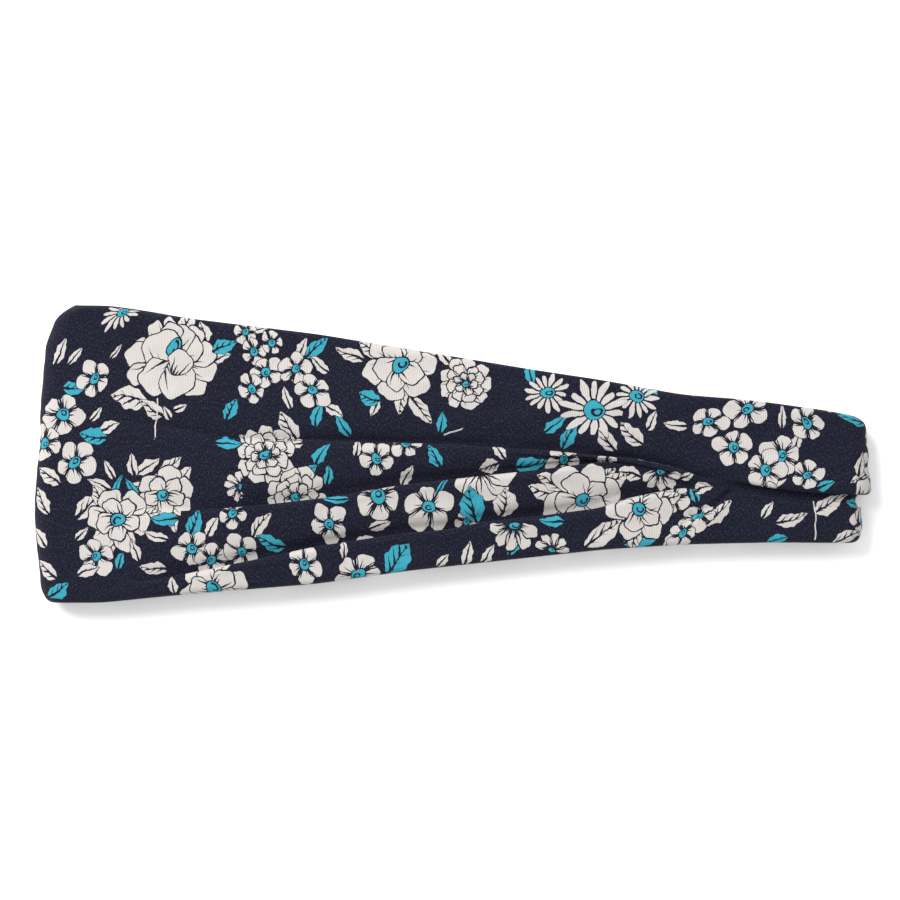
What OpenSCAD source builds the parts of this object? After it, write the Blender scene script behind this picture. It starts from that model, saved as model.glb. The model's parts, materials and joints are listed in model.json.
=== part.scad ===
// Wide stretch headband: a printed jersey tube sewn end to end into a loop, wide at the front and
// pleated down to a narrow back. It lies folded flat in half on a table.
// +X runs from the front fold to the back fold, +Y across the band and +Z up. The origin is on the
// table, under the middle of the band.
// The tube is one cloth with two plies. It is split where it bends, so that the loop can open.

/* [Loop] */
// Length of the band as it lies folded in half
loop_l = 240; // [200:1:290]
// Length of the flat stretch between the two bends of each half
middle_l = 80; // [60:1:100]
// Height left open between the two halves, where the head goes
loop_gap = 4.4; // [4.3:0.1:6]
// Angle that each end fold opens through
fold_turn = 90; // [50:5:100]
// Room kept between neighbouring stretches at full turn
bend_clear = 0.4; // [0.3:0.05:0.8]

/* [Widths] */
// Width across the front fold
front_w = 85.2; // [60:0.2:104]
// Width across the back fold
back_w = 36; // [28:0.5:46]
// How far the middle of the back lies below the middle of the front
back_drop = 7.6; // [0:0.1:12]
// Corner radius where the front fold meets the upper edge
front_corner_r = 11; // [4:0.5:14]
// Corner radius of the other three corners
small_corner_r = 3.5; // [2:0.5:6]

/* [Cloth] */
// Thickness of one ply of jersey
ply_t = 0.9; // [0.7:0.05:1.2]
// Height that the pleats, and the fullness of the unpleated front, add to each half
loft_t = 1.1; // [0.9:0.05:1.6]
// Depth of cloth taken up under each pleat
pleat_depth = 10; // [6:0.5:12]
// Room kept between one pleat and the next
pleat_clear = 0.6; // [0.4:0.1:1.2]

/* [Sewing] */
// Width of the seam allowance at the cross seam
allowance_w = 6; // [4:0.5:9]
// Thickness of the sewing thread where it stands out of the cloth
thread_t = 0.4; // [0.3:0.05:0.6]
// Length of one stitch
stitch_l = 2.4; // [1.6:0.1:3.2]
// Spacing of the stitches along the cross seam
stitch_pitch = 3.6; // [3.4:0.1:5]

/* [Hidden] */
$fn = 64;

navy = [0.13, 0.14, 0.22];
lining_navy = [0.17, 0.18, 0.27];
petal_cream = [0.87, 0.85, 0.8];
turquoise = [0.2, 0.62, 0.74];
thread_navy = [0.09, 0.1, 0.16];

// The loop is symmetrical about this height, and each end fold turns about a line in it.
mid_z = loft_t + 2 * ply_t + loop_gap / 2;
fold_x = loop_l / 2 - mid_z;
bend_x = middle_l / 2;
bend_turn = fold_turn / 2;

// Levels of the cloth in the upper half. The lower half is its mirror image about mid_z.
inner_ply_z = mid_z + loop_gap / 2;
bend_z = inner_ply_z + ply_t;
pleat_z = bend_z + ply_t;

// A stretch stops this far short of a bend, for a height h above the bend's own line.
function bend_stop(h) = (bend_clear / 2 + h * sin(bend_turn / 2)) / cos(bend_turn / 2);
ply_end_x = bend_x - bend_stop(ply_t);
next_ply_x = bend_x + bend_stop(ply_t);
allowance_gap = bend_stop(2 * ply_t + thread_t);

// The two edges of the band: share of the length from the front, then share of the front's reach.
upper_taper = [[0, 1], [0.05, 0.99], [0.13, 0.93], [0.34, 0.74], [0.6, 0.43], [0.78, 0.205], [0.97, 0.05], [1, 0]];
lower_taper = [[0, 1], [0.07, 1], [0.16, 0.89], [0.34, 0.68], [0.45, 0.47], [0.68, 0.11], [0.78, 0.02], [1, 0]];

// Pleat lines: share of the length from the front, then share of the width from the lower edge.
line_a = [[0.33, 0.575], [0.63, 0.58], [0.72, 0.55], [0.77, 0.51], [0.81, 0.44]];
line_b = [[0.33, 0.34], [0.52, 0.42], [0.61, 0.47], [0.68, 0.528]];
line_c = [[0.33, 0.15], [0.52, 0.19], [0.68, 0.25], [0.7, 0.3], [0.78, 0.4]];
line_tuck = [[0.77, 0.12], [0.833, 0.31]];
line_flap = [[0.852, 0.41], [0.883, 0.39], [1, 0.375]];
pleat_a_end = 0.8;
pleat_b_end = 0.66;
pleat_c_end = 0.775;
tuck_depth = 4;
tack_at = 0.832;
tack_stitches = 4;

function share(x) = (x + loop_l / 2) / loop_l;
function at_share(s) = (s - 0.5) * loop_l;
function upper_edge(x) =
    back_w / 2 - back_drop + (front_w / 2 - back_w / 2 + back_drop) * lookup(share(x), upper_taper);
function lower_edge(x) =
    -back_w / 2 - back_drop - (front_w / 2 - back_w / 2 - back_drop) * lookup(share(x), lower_taper);
function width_at(x) = upper_edge(x) - lower_edge(x);
function on_line(line, x) = lower_edge(x) + width_at(x) * lookup(share(x), line);
function spaced(x0, x1) = let (n = ceil((x1 - x0) / 8)) [for (i = [0:n]) x0 + (x1 - x0) * i / n];
function backwards(list) = [for (i = [len(list) - 1:-1:0]) list[i]];

// Plan shape between two heights that are functions of x.
module between(x0, x1, low, high) {
    xs = spaced(x0, x1);
    polygon(concat([for (x = xs) [x, low(x)]], [for (x = backwards(xs)) [x, high(x)]]));
}

// What a rounded corner takes away. The corner points along +X and +Y, turned by an angle.
module corner_waste(x, y, angle, r) {
    reach = r + 1;
    translate([x, y])
        rotate(angle)
            translate([-r, -r])
                difference() {
                    square(reach);
                    circle(r);
                }
}

// Plan shape of the band from x0 to x1, with its rounded corners.
module band_plan(x0, x1) {
    front = -loop_l / 2;
    back = loop_l / 2;
    difference() {
        between(x0, x1, function (x) lower_edge(x), function (x) upper_edge(x));
        corner_waste(front, upper_edge(front), 90, front_corner_r);
        corner_waste(front, lower_edge(front), 180, small_corner_r);
        corner_waste(back, upper_edge(back), 0, small_corner_r);
        corner_waste(back, lower_edge(back), 270, small_corner_r);
    }
}

// Turns a piece of the upper half into the same piece of the lower half.
module lower_half() {
    translate([0, 0, 2 * mid_z])
        mirror([0, 0, 1])
            children();
}

// One flat ply of the upper half.
module flat_ply(x0, x1, z, t) {
    translate([0, 0, z])
        linear_extrude(t)
            band_plan(x0, x1);
}

// A pleat: cloth that lies on the outer ply from its line down towards the next line.
module pleat(line, next_line, x0, x1, depth) {
    translate([0, 0, pleat_z])
        linear_extrude(loft_t)
            between(
                x0, x1,
                function (x) max(on_line(line, x) - depth, on_line(next_line, x) + pleat_clear),
                function (x) on_line(line, x)
            );
}

// Lower quarter of an end fold, as a bent ply between two radii. It stops short of the upper half.
module fold_quarter(r_in, r_out) {
    stop_angle = 2 * asin(bend_clear / (2 * (loop_gap / 2)));
    reach = 2 * r_out;
    intersection() {
        translate([-fold_x, 0, mid_z])
            rotate([90, 0, 0])
                linear_extrude(2 * front_w, center = true)
                    intersection() {
                        difference() {
                            circle(r_out);
                            circle(r_in);
                        }
                        polygon([
                            [0, 0], [-reach * cos(stop_angle), -reach * sin(stop_angle)],
                            [-reach, -reach], [0, -reach]
                        ]);
                    }
        translate([0, 0, -1])
            linear_extrude(2 * mid_z + 2)
                children();
    }
}

module front_outer() flat_ply(-fold_x, -next_ply_x, bend_z, ply_t + loft_t);
module front_inner() flat_ply(-fold_x, -next_ply_x, inner_ply_z, ply_t);
module middle_outer() flat_ply(-ply_end_x, ply_end_x, bend_z, ply_t);
module middle_inner() flat_ply(-ply_end_x, ply_end_x, inner_ply_z, ply_t);
module back_outer() flat_ply(next_ply_x, fold_x, bend_z, ply_t);
module back_inner() flat_ply(next_ply_x, fold_x, inner_ply_z, ply_t);

module middle_a() pleat(line_a, line_b, -ply_end_x, ply_end_x, pleat_depth);
module middle_b() pleat(line_b, line_c, -ply_end_x, min(ply_end_x, at_share(pleat_b_end)), pleat_depth);
module middle_c() pleat(line_c, [[0, 0], [1, 0]], -ply_end_x, ply_end_x, pleat_depth);
module back_a() pleat(line_a, line_c, next_ply_x, at_share(pleat_a_end), pleat_depth);
module back_c() pleat(line_c, [[0, 0.03], [1, 0.03]], next_ply_x, at_share(pleat_c_end), pleat_depth * 0.6);
module back_tuck() {
    pleat(line_tuck, [[0, 0], [1, 0]], at_share(line_tuck[0][0]), at_share(line_tuck[1][0]), tuck_depth);
}

// Cloth of the narrow back that lies over the lower strip, from its line up to the upper edge.
module back_flap() {
    translate([0, 0, pleat_z])
        linear_extrude(loft_t)
            intersection() {
                between(
                    at_share(line_flap[0][0]), fold_x,
                    function (x) on_line(line_flap, x),
                    function (x) upper_edge(x)
                );
                band_plan(next_ply_x, loop_l / 2);
            }
}

// Short stitches that hold the pleats together where they meet.
module tack() {
    x = at_share(tack_at);
    for (i = [0:tack_stitches - 1])
        translate([x - stitch_l / 2, on_line(line_flap, x) + (i - 1) * 2.5 * thread_t, pleat_z])
            cube([stitch_l, 1.5 * thread_t, thread_t]);
}

// One half of the cross seam's allowance, pressed flat on the inner face of the lower half.
module allowance() {
    x0 = bend_x + allowance_gap;
    translate([0, 0, mid_z - loop_gap / 2])
        linear_extrude(ply_t)
            between(
                x0, x0 + allowance_w,
                function (x) lower_edge(x) + small_corner_r,
                function (x) upper_edge(x) - small_corner_r
            );
}

module lower_middle_outer_ply() { color(navy) lower_half() middle_outer(); }
module lower_middle_inner_ply() { color(lining_navy) lower_half() middle_inner(); }
module lower_middle_pleat_a() { color(petal_cream) lower_half() middle_a(); }
module lower_middle_pleat_b() { color(turquoise) lower_half() middle_b(); }
module lower_middle_pleat_c() { color(petal_cream) lower_half() middle_c(); }
module lower_front_outer_ply() { color(navy) lower_half() front_outer(); }
module lower_front_inner_ply() { color(lining_navy) lower_half() front_inner(); }
module front_fold_outer_ply() {
    color(navy)
        fold_quarter(loop_gap / 2 + ply_t, mid_z)
            band_plan(-loop_l / 2, -fold_x);
}
module front_fold_inner_ply() {
    color(lining_navy)
        fold_quarter(loop_gap / 2, loop_gap / 2 + ply_t)
            band_plan(-loop_l / 2, -fold_x);
}
module upper_front_outer_ply() { color(navy) front_outer(); }
module upper_front_inner_ply() { color(lining_navy) front_inner(); }
module upper_middle_outer_ply() { color(navy) middle_outer(); }
module upper_middle_inner_ply() { color(lining_navy) middle_inner(); }
module upper_middle_pleat_a() { color(petal_cream) middle_a(); }
module upper_middle_pleat_b() { color(turquoise) middle_b(); }
module upper_middle_pleat_c() { color(petal_cream) middle_c(); }
module upper_back_outer_ply() { color(navy) back_outer(); }
module upper_back_inner_ply() { color(lining_navy) back_inner(); }
module upper_back_pleat_a() { color(petal_cream) back_a(); }
module upper_back_pleat_c() { color(turquoise) back_c(); }
module upper_back_tuck() { color(petal_cream) back_tuck(); }
module upper_back_flap() { color(navy) back_flap(); }
module upper_pleat_tack() { color(thread_navy) tack(); }
module lower_back_outer_ply() { color(navy) lower_half() back_outer(); }
module lower_back_inner_ply() { color(lining_navy) lower_half() back_inner(); }
module lower_back_pleat_a() { color(petal_cream) lower_half() back_a(); }
module lower_back_pleat_c() { color(turquoise) lower_half() back_c(); }
module lower_back_tuck() { color(petal_cream) lower_half() back_tuck(); }
module lower_back_flap() { color(navy) lower_half() back_flap(); }
module lower_pleat_tack() { color(thread_navy) lower_half() tack(); }
module back_fold_outer_ply() {
    color(navy)
        mirror([1, 0, 0])
            fold_quarter(loop_gap / 2 + ply_t, mid_z)
                mirror([1, 0])
                    band_plan(fold_x, loop_l / 2);
}
module back_fold_inner_ply() {
    color(lining_navy)
        mirror([1, 0, 0])
            fold_quarter(loop_gap / 2, loop_gap / 2 + ply_t)
                mirror([1, 0])
                    band_plan(fold_x, loop_l / 2);
}
module seam_allowance_middle() {
    x1 = bend_x - allowance_gap;
    color(lining_navy)
        translate([0, 0, mid_z - loop_gap / 2])
            linear_extrude(ply_t)
                between(
                    x1 - allowance_w, x1,
                    function (x) lower_edge(x) + small_corner_r,
                    function (x) upper_edge(x) - small_corner_r
                );
}
module seam_allowance_back() { color(lining_navy) allowance(); }

// Row of stitches along the cross seam, on the back half's allowance.
module cross_seam_thread() {
    x0 = bend_x + allowance_gap + thread_t;
    low = lower_edge(bend_x) + small_corner_r + stitch_pitch;
    high = upper_edge(bend_x) - small_corner_r - stitch_pitch;
    rows = floor((high - low) / stitch_pitch);
    color(thread_navy)
        for (i = [0:rows])
            translate([x0, low + i * stitch_pitch, mid_z - loop_gap / 2 + ply_t])
                cube([thread_t, stitch_l, thread_t]);
}

lower_middle_outer_ply();
lower_middle_inner_ply();
lower_middle_pleat_a();
lower_middle_pleat_b();
lower_middle_pleat_c();
lower_front_outer_ply();
lower_front_inner_ply();
front_fold_outer_ply();
front_fold_inner_ply();
upper_front_outer_ply();
upper_front_inner_ply();
upper_middle_outer_ply();
upper_middle_inner_ply();
upper_middle_pleat_a();
upper_middle_pleat_b();
upper_middle_pleat_c();
upper_back_outer_ply();
upper_back_inner_ply();
upper_back_pleat_a();
upper_back_pleat_c();
upper_back_tuck();
upper_back_flap();
upper_pleat_tack();
lower_back_outer_ply();
lower_back_inner_ply();
lower_back_pleat_a();
lower_back_pleat_c();
lower_back_tuck();
lower_back_flap();
lower_pleat_tack();
back_fold_outer_ply();
back_fold_inner_ply();
seam_allowance_middle();
seam_allowance_back();
cross_seam_thread();
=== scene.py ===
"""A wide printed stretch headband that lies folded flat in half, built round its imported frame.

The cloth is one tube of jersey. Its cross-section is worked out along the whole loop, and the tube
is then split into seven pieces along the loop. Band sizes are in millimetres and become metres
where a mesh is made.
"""

import json
import math

import bpy
import numpy as np
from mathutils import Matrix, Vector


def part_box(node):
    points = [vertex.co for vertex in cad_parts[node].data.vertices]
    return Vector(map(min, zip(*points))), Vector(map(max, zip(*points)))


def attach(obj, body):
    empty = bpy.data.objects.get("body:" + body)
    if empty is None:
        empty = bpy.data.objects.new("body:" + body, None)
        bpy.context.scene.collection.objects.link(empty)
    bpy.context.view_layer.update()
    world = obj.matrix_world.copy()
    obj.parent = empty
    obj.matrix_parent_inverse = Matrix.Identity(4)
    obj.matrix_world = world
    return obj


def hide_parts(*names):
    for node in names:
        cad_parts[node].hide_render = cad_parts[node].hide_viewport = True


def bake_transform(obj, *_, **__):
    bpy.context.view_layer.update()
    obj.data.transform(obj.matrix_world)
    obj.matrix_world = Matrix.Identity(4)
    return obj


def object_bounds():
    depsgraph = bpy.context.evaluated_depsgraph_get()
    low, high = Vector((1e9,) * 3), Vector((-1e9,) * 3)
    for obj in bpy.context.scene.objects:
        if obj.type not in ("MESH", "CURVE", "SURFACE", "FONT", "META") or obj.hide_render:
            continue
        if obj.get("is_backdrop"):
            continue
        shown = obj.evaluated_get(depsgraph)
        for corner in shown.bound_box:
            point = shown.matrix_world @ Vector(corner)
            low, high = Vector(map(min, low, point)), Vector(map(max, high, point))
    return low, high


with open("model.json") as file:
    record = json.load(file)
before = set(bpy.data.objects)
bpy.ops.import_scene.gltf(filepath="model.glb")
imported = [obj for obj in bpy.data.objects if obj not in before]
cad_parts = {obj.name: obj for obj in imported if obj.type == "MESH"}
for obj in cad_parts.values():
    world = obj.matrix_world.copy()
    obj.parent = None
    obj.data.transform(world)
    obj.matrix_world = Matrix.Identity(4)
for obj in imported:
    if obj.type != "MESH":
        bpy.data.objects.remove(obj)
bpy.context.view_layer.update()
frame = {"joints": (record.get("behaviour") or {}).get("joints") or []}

bl_info = {
    "name": "Printed stretch headband",
    "version": (1, 0, 0),
    "blender": (4, 5, 0),
    "location": "View3D > Sidebar > Headband",
    "description": "Builds a pleated, printed jersey headband round its frame",
    "category": "Object",
}

MM = 0.001


# ---------------------------------------------------------------- frame


def joint_place(name):
    """Where a joint's axis runs, in millimetres."""
    for joint in frame["joints"]:
        if joint["name"] == name:
            return [value / MM for value in joint["pos_m"]]
    raise ValueError(f"the frame has no joint named {name}")


FOLD_X = -joint_place("front_fold")[0]
MID_Z = joint_place("front_fold")[2]
BEND_X = joint_place("back_upper_bend")[0]
BEND_R = joint_place("back_upper_bend")[2] - MID_Z
GAP = 2 * (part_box("upper_middle_inner_ply")[0].z / MM - MID_Z)
PLY = BEND_R - GAP / 2
FULL_W = (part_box("upper_front_outer_ply")[1].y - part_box("upper_front_outer_ply")[0].y) / MM
SEAM_X = BEND_X
# How far each end of the cloth starts from the cross seam's axis, so that the two keep clear.
SEAM_CLEARANCE = 0.03


# ---------------------------------------------------------------- settings


def colour_property(name, description, default):
    return bpy.props.FloatVectorProperty(
        name=name, description=description, default=default, size=4, min=0, max=1, subtype="COLOR"
    )


def length_property(name, description, default):
    return bpy.props.FloatProperty(
        name=name, description=description, default=default, min=0, subtype="DISTANCE", unit="LENGTH"
    )


class HeadbandCloth(bpy.types.PropertyGroup):
    """Sizes of the jersey tube."""

    column_step: length_property("Column step", "Spacing of the mesh along the loop", 0.001)
    row_step: length_property("Row step", "Spacing of the mesh across the band", 0.001)
    edge_roll: length_property("Edge roll", "How far in from an edge the cloth is rounded", 0.0017)
    lip_height: length_property("Lip height", "How far a pleat's lip stands over its strip", 0.0015)
    valley_depth: length_property("Valley depth", "How far the cloth dips beside a lip", 0.0019)
    pleated_height: length_property("Pleated height", "Height of the outer ply between pleats", 0.0016)
    front_height: length_property("Front height", "Height of the outer ply at the full front", 0.0018)
    unevenness: length_property("Unevenness", "How far the cloth wavers", 0.0003)


class HeadbandPrint(bpy.types.PropertyGroup):
    """Colours and line of the printed jersey."""

    navy: colour_property("Navy", "Ground colour of the cloth", (0.0044, 0.0049, 0.0135, 1))
    cream: colour_property("Cream", "Colour of petals and pale leaves", (0.515, 0.487, 0.462, 1))
    turquoise: colour_property("Turquoise", "Colour of centres and bright leaves", (0.04, 0.325, 0.42, 1))
    thread: colour_property("Thread", "Colour of the sewing thread", (0.01, 0.011, 0.022, 1))
    line: length_property("Line", "Width of a drawn line in the print", 0.00046)
    rib: length_property("Rib", "Spacing of the ribs of the knit", 0.00048)
    stitch: length_property("Stitch", "Height of one knitted stitch", 0.00038)


class HeadbandStage(bpy.types.PropertyGroup):
    """Floor, light and camera."""

    floor: colour_property("Floor", "Colour of the plain floor", (0.93, 0.93, 0.93, 1))
    view_width: length_property("View width", "Width of floor that the camera takes in", 0.2599)
    camera_height: length_property("Camera height", "Height of the camera over the floor", 1.1)
    key_power: bpy.props.FloatProperty(name="Key power", description="Power of the soft key", default=15.0)
    sky: bpy.props.FloatProperty(name="Sky", description="Strength of the even light", default=0.9)


# ---------------------------------------------------------------- lines of the band, from above


def smooth_line(points, spread=3.0):
    """A function of x through chosen points, with its corners softened."""
    step = 0.5
    xs = np.arange(-140.0, 140.0 + step, step)
    reach = int(3 * spread / step)
    kernel = np.exp(-0.5 * (np.arange(-reach, reach + 1) * step / spread) ** 2)
    px, py = zip(*points)
    ys = np.interp(xs, px, py)
    ys = np.convolve(np.pad(ys, reach, mode="edge"), kernel / kernel.sum(), mode="valid")
    return lambda x: np.interp(x, xs, ys)


upper_edge = smooth_line(
    [(-109, 42.4), (-88, 40.5), (-38, 34.4), (23, 24.3), (43, 21.3), (66, 17.1), (83, 15.8), (113, 12.2),
     (121, 10.2)]
)
lower_edge = smooth_line(
    [(-103, -42.6), (-82, -40.7), (-38, -37.1), (-13, -33.5), (43, -27.4), (66, -25.9), (92, -25.3),
     (121, -25.5)]
)

# The pleat lines from the front to the back. Line A goes on as the edge of the back flap.
line_a = smooth_line(
    [(-120, 12), (-96, 9.5), (-80, 7.8), (-62, 4.2), (-38, 4.1), (0, 3.2), (29, 1.2), (43, -0.5),
     (52, -1.1), (64.5, -3.7), (73.5, -7.2), (84.5, -8.6), (92, -9.8), (101, -10.9), (121, -11.9)], 2.0
)
line_b = smooth_line(
    [(-120, -19), (-93, -16.7), (-74, -15.8), (-57, -14.7), (-38, -12.7), (-13, -8.6), (5, -6.6),
     (26, -4.3), (43, -2.0), (52, -3.2), (64.5, -6.2), (73.5, -9.6), (84.5, -12.5), (101, -16),
     (121, -17)], 2.0
)
line_c = smooth_line(
    [(-120, -39), (-90, -36.6), (-73, -33.5), (-57, -30.3), (-38, -26.2), (-13, -22.5), (0, -21.4),
     (9, -19.3), (23, -17.9), (43, -15.3), (49, -12.9), (60, -10.6), (67.4, -9.2), (73.5, -11.4),
     (84.5, -16.5), (101, -20.5), (121, -21.5)], 2.0
)
# How far each line is folded: 1 lays the lower strip over the upper one, -1 the upper over the lower.
fold_a = smooth_line(
    [(-98, 0), (-84, 0.1), (-50, 0.15), (-40, 0.25), (-34, 0.42), (-20, 0.5), (20, 0.6), (45, 0.9),
     (64, 0.9), (74, 0.3), (78, 0), (86, -0.9), (121, -1)]
)
fold_b = smooth_line([(-97, 0), (-88, 0.12), (-72, 0.4), (-58, 0.8), (-40, 1), (30, 1), (43, 0.7), (50, 0)])
fold_c = smooth_line([(-95, 0), (-84, 0.5), (-70, 0.95), (-55, 1), (58, 1), (66, 0.7), (71, 0)])
# How deep line A lies open as a soft valley, beside being folded.
valley_a = smooth_line(
    [(-104, 0), (-92, 0.4), (-78, 0.8), (-60, 0.8), (-40, 1.2), (20, 1.2), (45, 0.8), (64, 0)]
)
# The short slanting tuck, and the place where the pleats meet.
tuck_line = [(64.8, -21.0), (68.6, -18.4), (73.8, -16.2), (77.0, -14.2), (79.8, -11.6)]
meeting_point = (78.0, -9.6)

# How far the front and back folds draw in from the loop's full length, over the width.
front_draw = smooth_line(
    [(-43, 4.0), (-39, 1.8), (-25, 0.8), (-13, 0), (3, 1.2), (17, 1.9), (31, 3.2), (39, 6.0), (43, 11)], 1.0
)
back_draw = smooth_line(
    [(-26.5, 4.2), (-25, 2.6), (-23, 1.9), (-12.6, 1.7), (-11.6, 0.2), (6, 0.2), (9, 1.0), (11, 3.0)], 0.5
)


def ease(t):
    """A smooth step from 0 to 1."""
    t = np.clip(t, 0, 1)
    return t * t * (3 - 2 * t)


def soft_noise(x, y, size, seed):
    """Smooth unevenness between about -1 and 1, with a given usual size in millimetres."""
    rng = np.random.default_rng(seed)
    total = np.zeros(np.broadcast(x, y).shape)
    waves = 9
    for _ in range(waves):
        angle = rng.uniform(0, 2 * math.pi)
        k = rng.uniform(0.6, 1.5) * 2 * math.pi / size
        total += np.cos(k * (x * math.cos(angle) + y * math.sin(angle)) + rng.uniform(0, 2 * math.pi))
    return total / math.sqrt(waves)


# ---------------------------------------------------------------- cross-section


# A folded lip from the strip it covers to its own strip: share of its reach across, share of its height.
LIP = [(1.0, 0.05), (0.5, -0.03), (0.05, -0.08), (-0.4, -0.06), (-0.62, 0.06), (-0.5, 0.22), (-0.16, 0.42),
       (0.0, 0.64), (-0.14, 0.84), (-0.5, 0.96), (-1.0, 1.0)]
LIP_MIDDLE = len(LIP) // 2
LIP_REACH = 1.7
# Where rows lie on a rolled edge, as shares of its roll.
EDGE_SHARES = (0.0, 0.05, 0.16, 0.34, 0.6)
STRIPS = 4


def rolled(lines, y, roll):
    """The share of its height that the cloth keeps near its two rolled edges."""
    near = np.minimum(lines[0] - y, y - lines[-1])
    return np.sqrt(np.clip(1 - (1 - np.clip(near / roll, 0, 1)) ** 2, 0, 1))


class Section:
    """The tube's cross-section at every column: place across, height and strip of every row."""

    def __init__(self, cloth, x, lower):
        self.cloth = cloth
        self.x = x[:, None]
        self.lower = lower[:, None]
        self.y = []
        self.h = []
        self.strip = []
        self.lips = []

    def heights(self):
        """The cloth lies flatter on the lower half, because the band rests on it."""
        c = self.cloth
        pressed = np.where(self.lower, 0.55, 1.0)
        base = np.interp(self.x, [-104, -56], [c.front_height, c.pleated_height]) / MM
        return pressed * base, pressed * c.lip_height / MM, pressed * c.valley_depth / MM

    def rows(self):
        """Outer rows from the upper edge down to the lower edge, then inner rows back up."""
        x = self.x
        roll = self.cloth.edge_roll / MM
        step = self.cloth.row_step / MM
        base, lip, valley = self.heights()
        lines = [upper_edge(x), line_a(x), line_b(x), line_c(x), lower_edge(x)]
        folds = [np.zeros_like(x), fold_a(x), fold_b(x), fold_c(x), np.zeros_like(x)]
        widths = [lines[k] - lines[k + 1] for k in range(STRIPS)]
        narrower = [np.minimum(widths[k - 1], widths[k]) for k in range(1, STRIPS)]
        reach = [np.minimum(LIP_REACH, 0.35 * width) for width in narrower]
        reach = [np.full_like(x, roll)] + reach + [np.full_like(x, roll)]
        for k in range(STRIPS):
            if k:
                self.lip_rows(k, lines[k], reach[k], folds[k], base, lip, valley)
            else:
                for share in EDGE_SHARES:
                    self.add(lines[0] - share * roll, None, 0)
            top = lines[k] - reach[k]
            bottom = lines[k + 1] + reach[k + 1]
            count = max(6, int(np.percentile(widths[k], 80) / step))
            first = 1 if k else 0
            last = count if k < STRIPS - 1 else count + 1
            for i in range(first, last):
                y = top + (bottom - top) * i / count
                self.add(y, self.strip_height(y, top, bottom, folds[k], folds[k + 1], base, lip, valley), k)
        for share in reversed(EDGE_SHARES):
            self.add(lines[-1] + share * roll, None, STRIPS - 1)
        return self.finished(lines)

    def add(self, y, h, strip):
        self.y.append(y)
        self.h.append(h)
        self.strip.append(strip)

    def strip_height(self, y, top, bottom, fold_top, fold_bottom, base, lip, valley):
        """A strip stands up beside its own lip, dips beside its neighbour's lip, and is level between."""
        at_top = np.where(fold_top > 0, fold_top * lip, fold_top * valley)
        at_bottom = np.where(fold_bottom > 0, -fold_bottom * valley, -fold_bottom * lip)
        long_side, short_side = 7.0, 2.4
        fade_top = np.where(fold_top > 0, long_side, short_side)
        fade_bottom = np.where(fold_bottom > 0, short_side, long_side)
        from_top = at_top * np.exp(-(top - y) / fade_top)
        return base + from_top + at_bottom * np.exp(-(y - bottom) / fade_bottom)

    def lip_rows(self, k, line, reach, fold, base, lip, valley):
        """Rows of one pleat line, from level cloth where it lies open to a full lip where it is folded."""
        self.lips.append(len(self.y))
        size = np.abs(fold)
        low = base - size * valley
        high = base + size * lip
        last = len(LIP) - 1
        for i in range(last + 1):
            across, up = LIP[i]
            back_across, back_up = LIP[last - i]
            level = 1 - 2 * i / last
            shape = np.where(fold > 0, across, -back_across)
            rise = np.where(fold > 0, up, back_up)
            y = line + reach * ((1 - size) * level + size * shape)
            self.add(y, low + (high - low) * rise, k - 1 if i < LIP_MIDDLE else k)

    def finished(self, lines):
        """Fills in edge heights, the tuck, the meeting hollow and unevenness, and adds the inner face."""
        outer = len(self.y)
        y = np.concatenate(self.y, axis=1)
        known = [height for height in self.h if height is not None]
        heights = [known[0 if i < outer / 2 else -1] if height is None else height
                   for i, height in enumerate(self.h)]
        h = np.concatenate(heights, axis=1)
        x = np.broadcast_to(self.x, y.shape)
        h = h + self.tuck(x, y) - self.hollow(x, y) - self.open_valley(x, y)
        h = h + self.cloth.unevenness / MM * self.unevenness(x, y)
        # The outer face never dips as far as the inner one.
        h = np.maximum(h, -0.6 * PLY)
        roll = self.cloth.edge_roll / MM
        h = h * rolled(lines, y, roll)
        inner_y, inner_h = self.inner(lines, roll)
        ys = np.concatenate([y, inner_y], axis=1)
        hs = np.concatenate([h, inner_h], axis=1)
        strips = self.strip + [STRIPS] * inner_y.shape[1]
        return ys, hs, strips, outer

    def inner(self, lines, roll):
        """Rows of the inner face, from the lower edge up to the upper edge."""
        shares = [s * roll for s in EDGE_SHARES if s > 0] + [roll]
        step = 2 * self.cloth.row_step / MM
        top, bottom = lines[0] - roll, lines[-1] + roll
        count = int(np.max(top - bottom) / step)
        rows = [lines[-1] + s for s in shares]
        rows += [bottom + (top - bottom) * i / count for i in range(1, count)]
        rows += [lines[0] - s for s in reversed(shares)]
        y = np.concatenate(rows, axis=1)
        x = np.broadcast_to(self.x, y.shape)
        depth = PLY + 0.12 * soft_noise(x, y, 16, 31)
        return y, -depth * rolled(lines, y, roll)

    def tucked(self, x, y):
        """How far past the short slanting tuck a place lies, and how strongly the tuck shows there."""
        tx, ty = zip(*tuck_line)
        run = math.hypot(tx[-1] - tx[0], ty[-1] - ty[0])
        across = (np.interp(x, tx, ty) - y) * (tx[-1] - tx[0]) / run
        along = (x - tx[0]) / (tx[-1] - tx[0])
        return across, ease(along / 0.25 + 0.15) * ease((1.25 - along) / 0.3)

    def tuck(self, x, y):
        """The tuck's lower right side lies over its upper left side."""
        across, fade = self.tucked(x, y)
        step = ease(across / 0.6 + 0.5)
        dip = 1.0 * np.exp(-((across + 0.75) / 0.75) ** 2)
        return fade * (0.9 * step * np.exp(-np.clip(across, 0, None) / 4.5) - dip)

    def open_valley(self, x, y):
        """The soft valley in which line A starts."""
        away = np.abs(y - line_a(x)) / 1.5
        return np.where(self.lower, 0.5, 1.0) * valley_a(x) * np.exp(-away ** 1.5)

    def hollow(self, x, y):
        """The soft hollow where the pleats meet."""
        mx, my = meeting_point
        away = ((x - mx) / 8.5) ** 2 + ((y - my + 0.18 * (x - mx)) / 3.6) ** 2
        return np.where(self.lower, 0.5, 1.6) * np.exp(-away)

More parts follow.
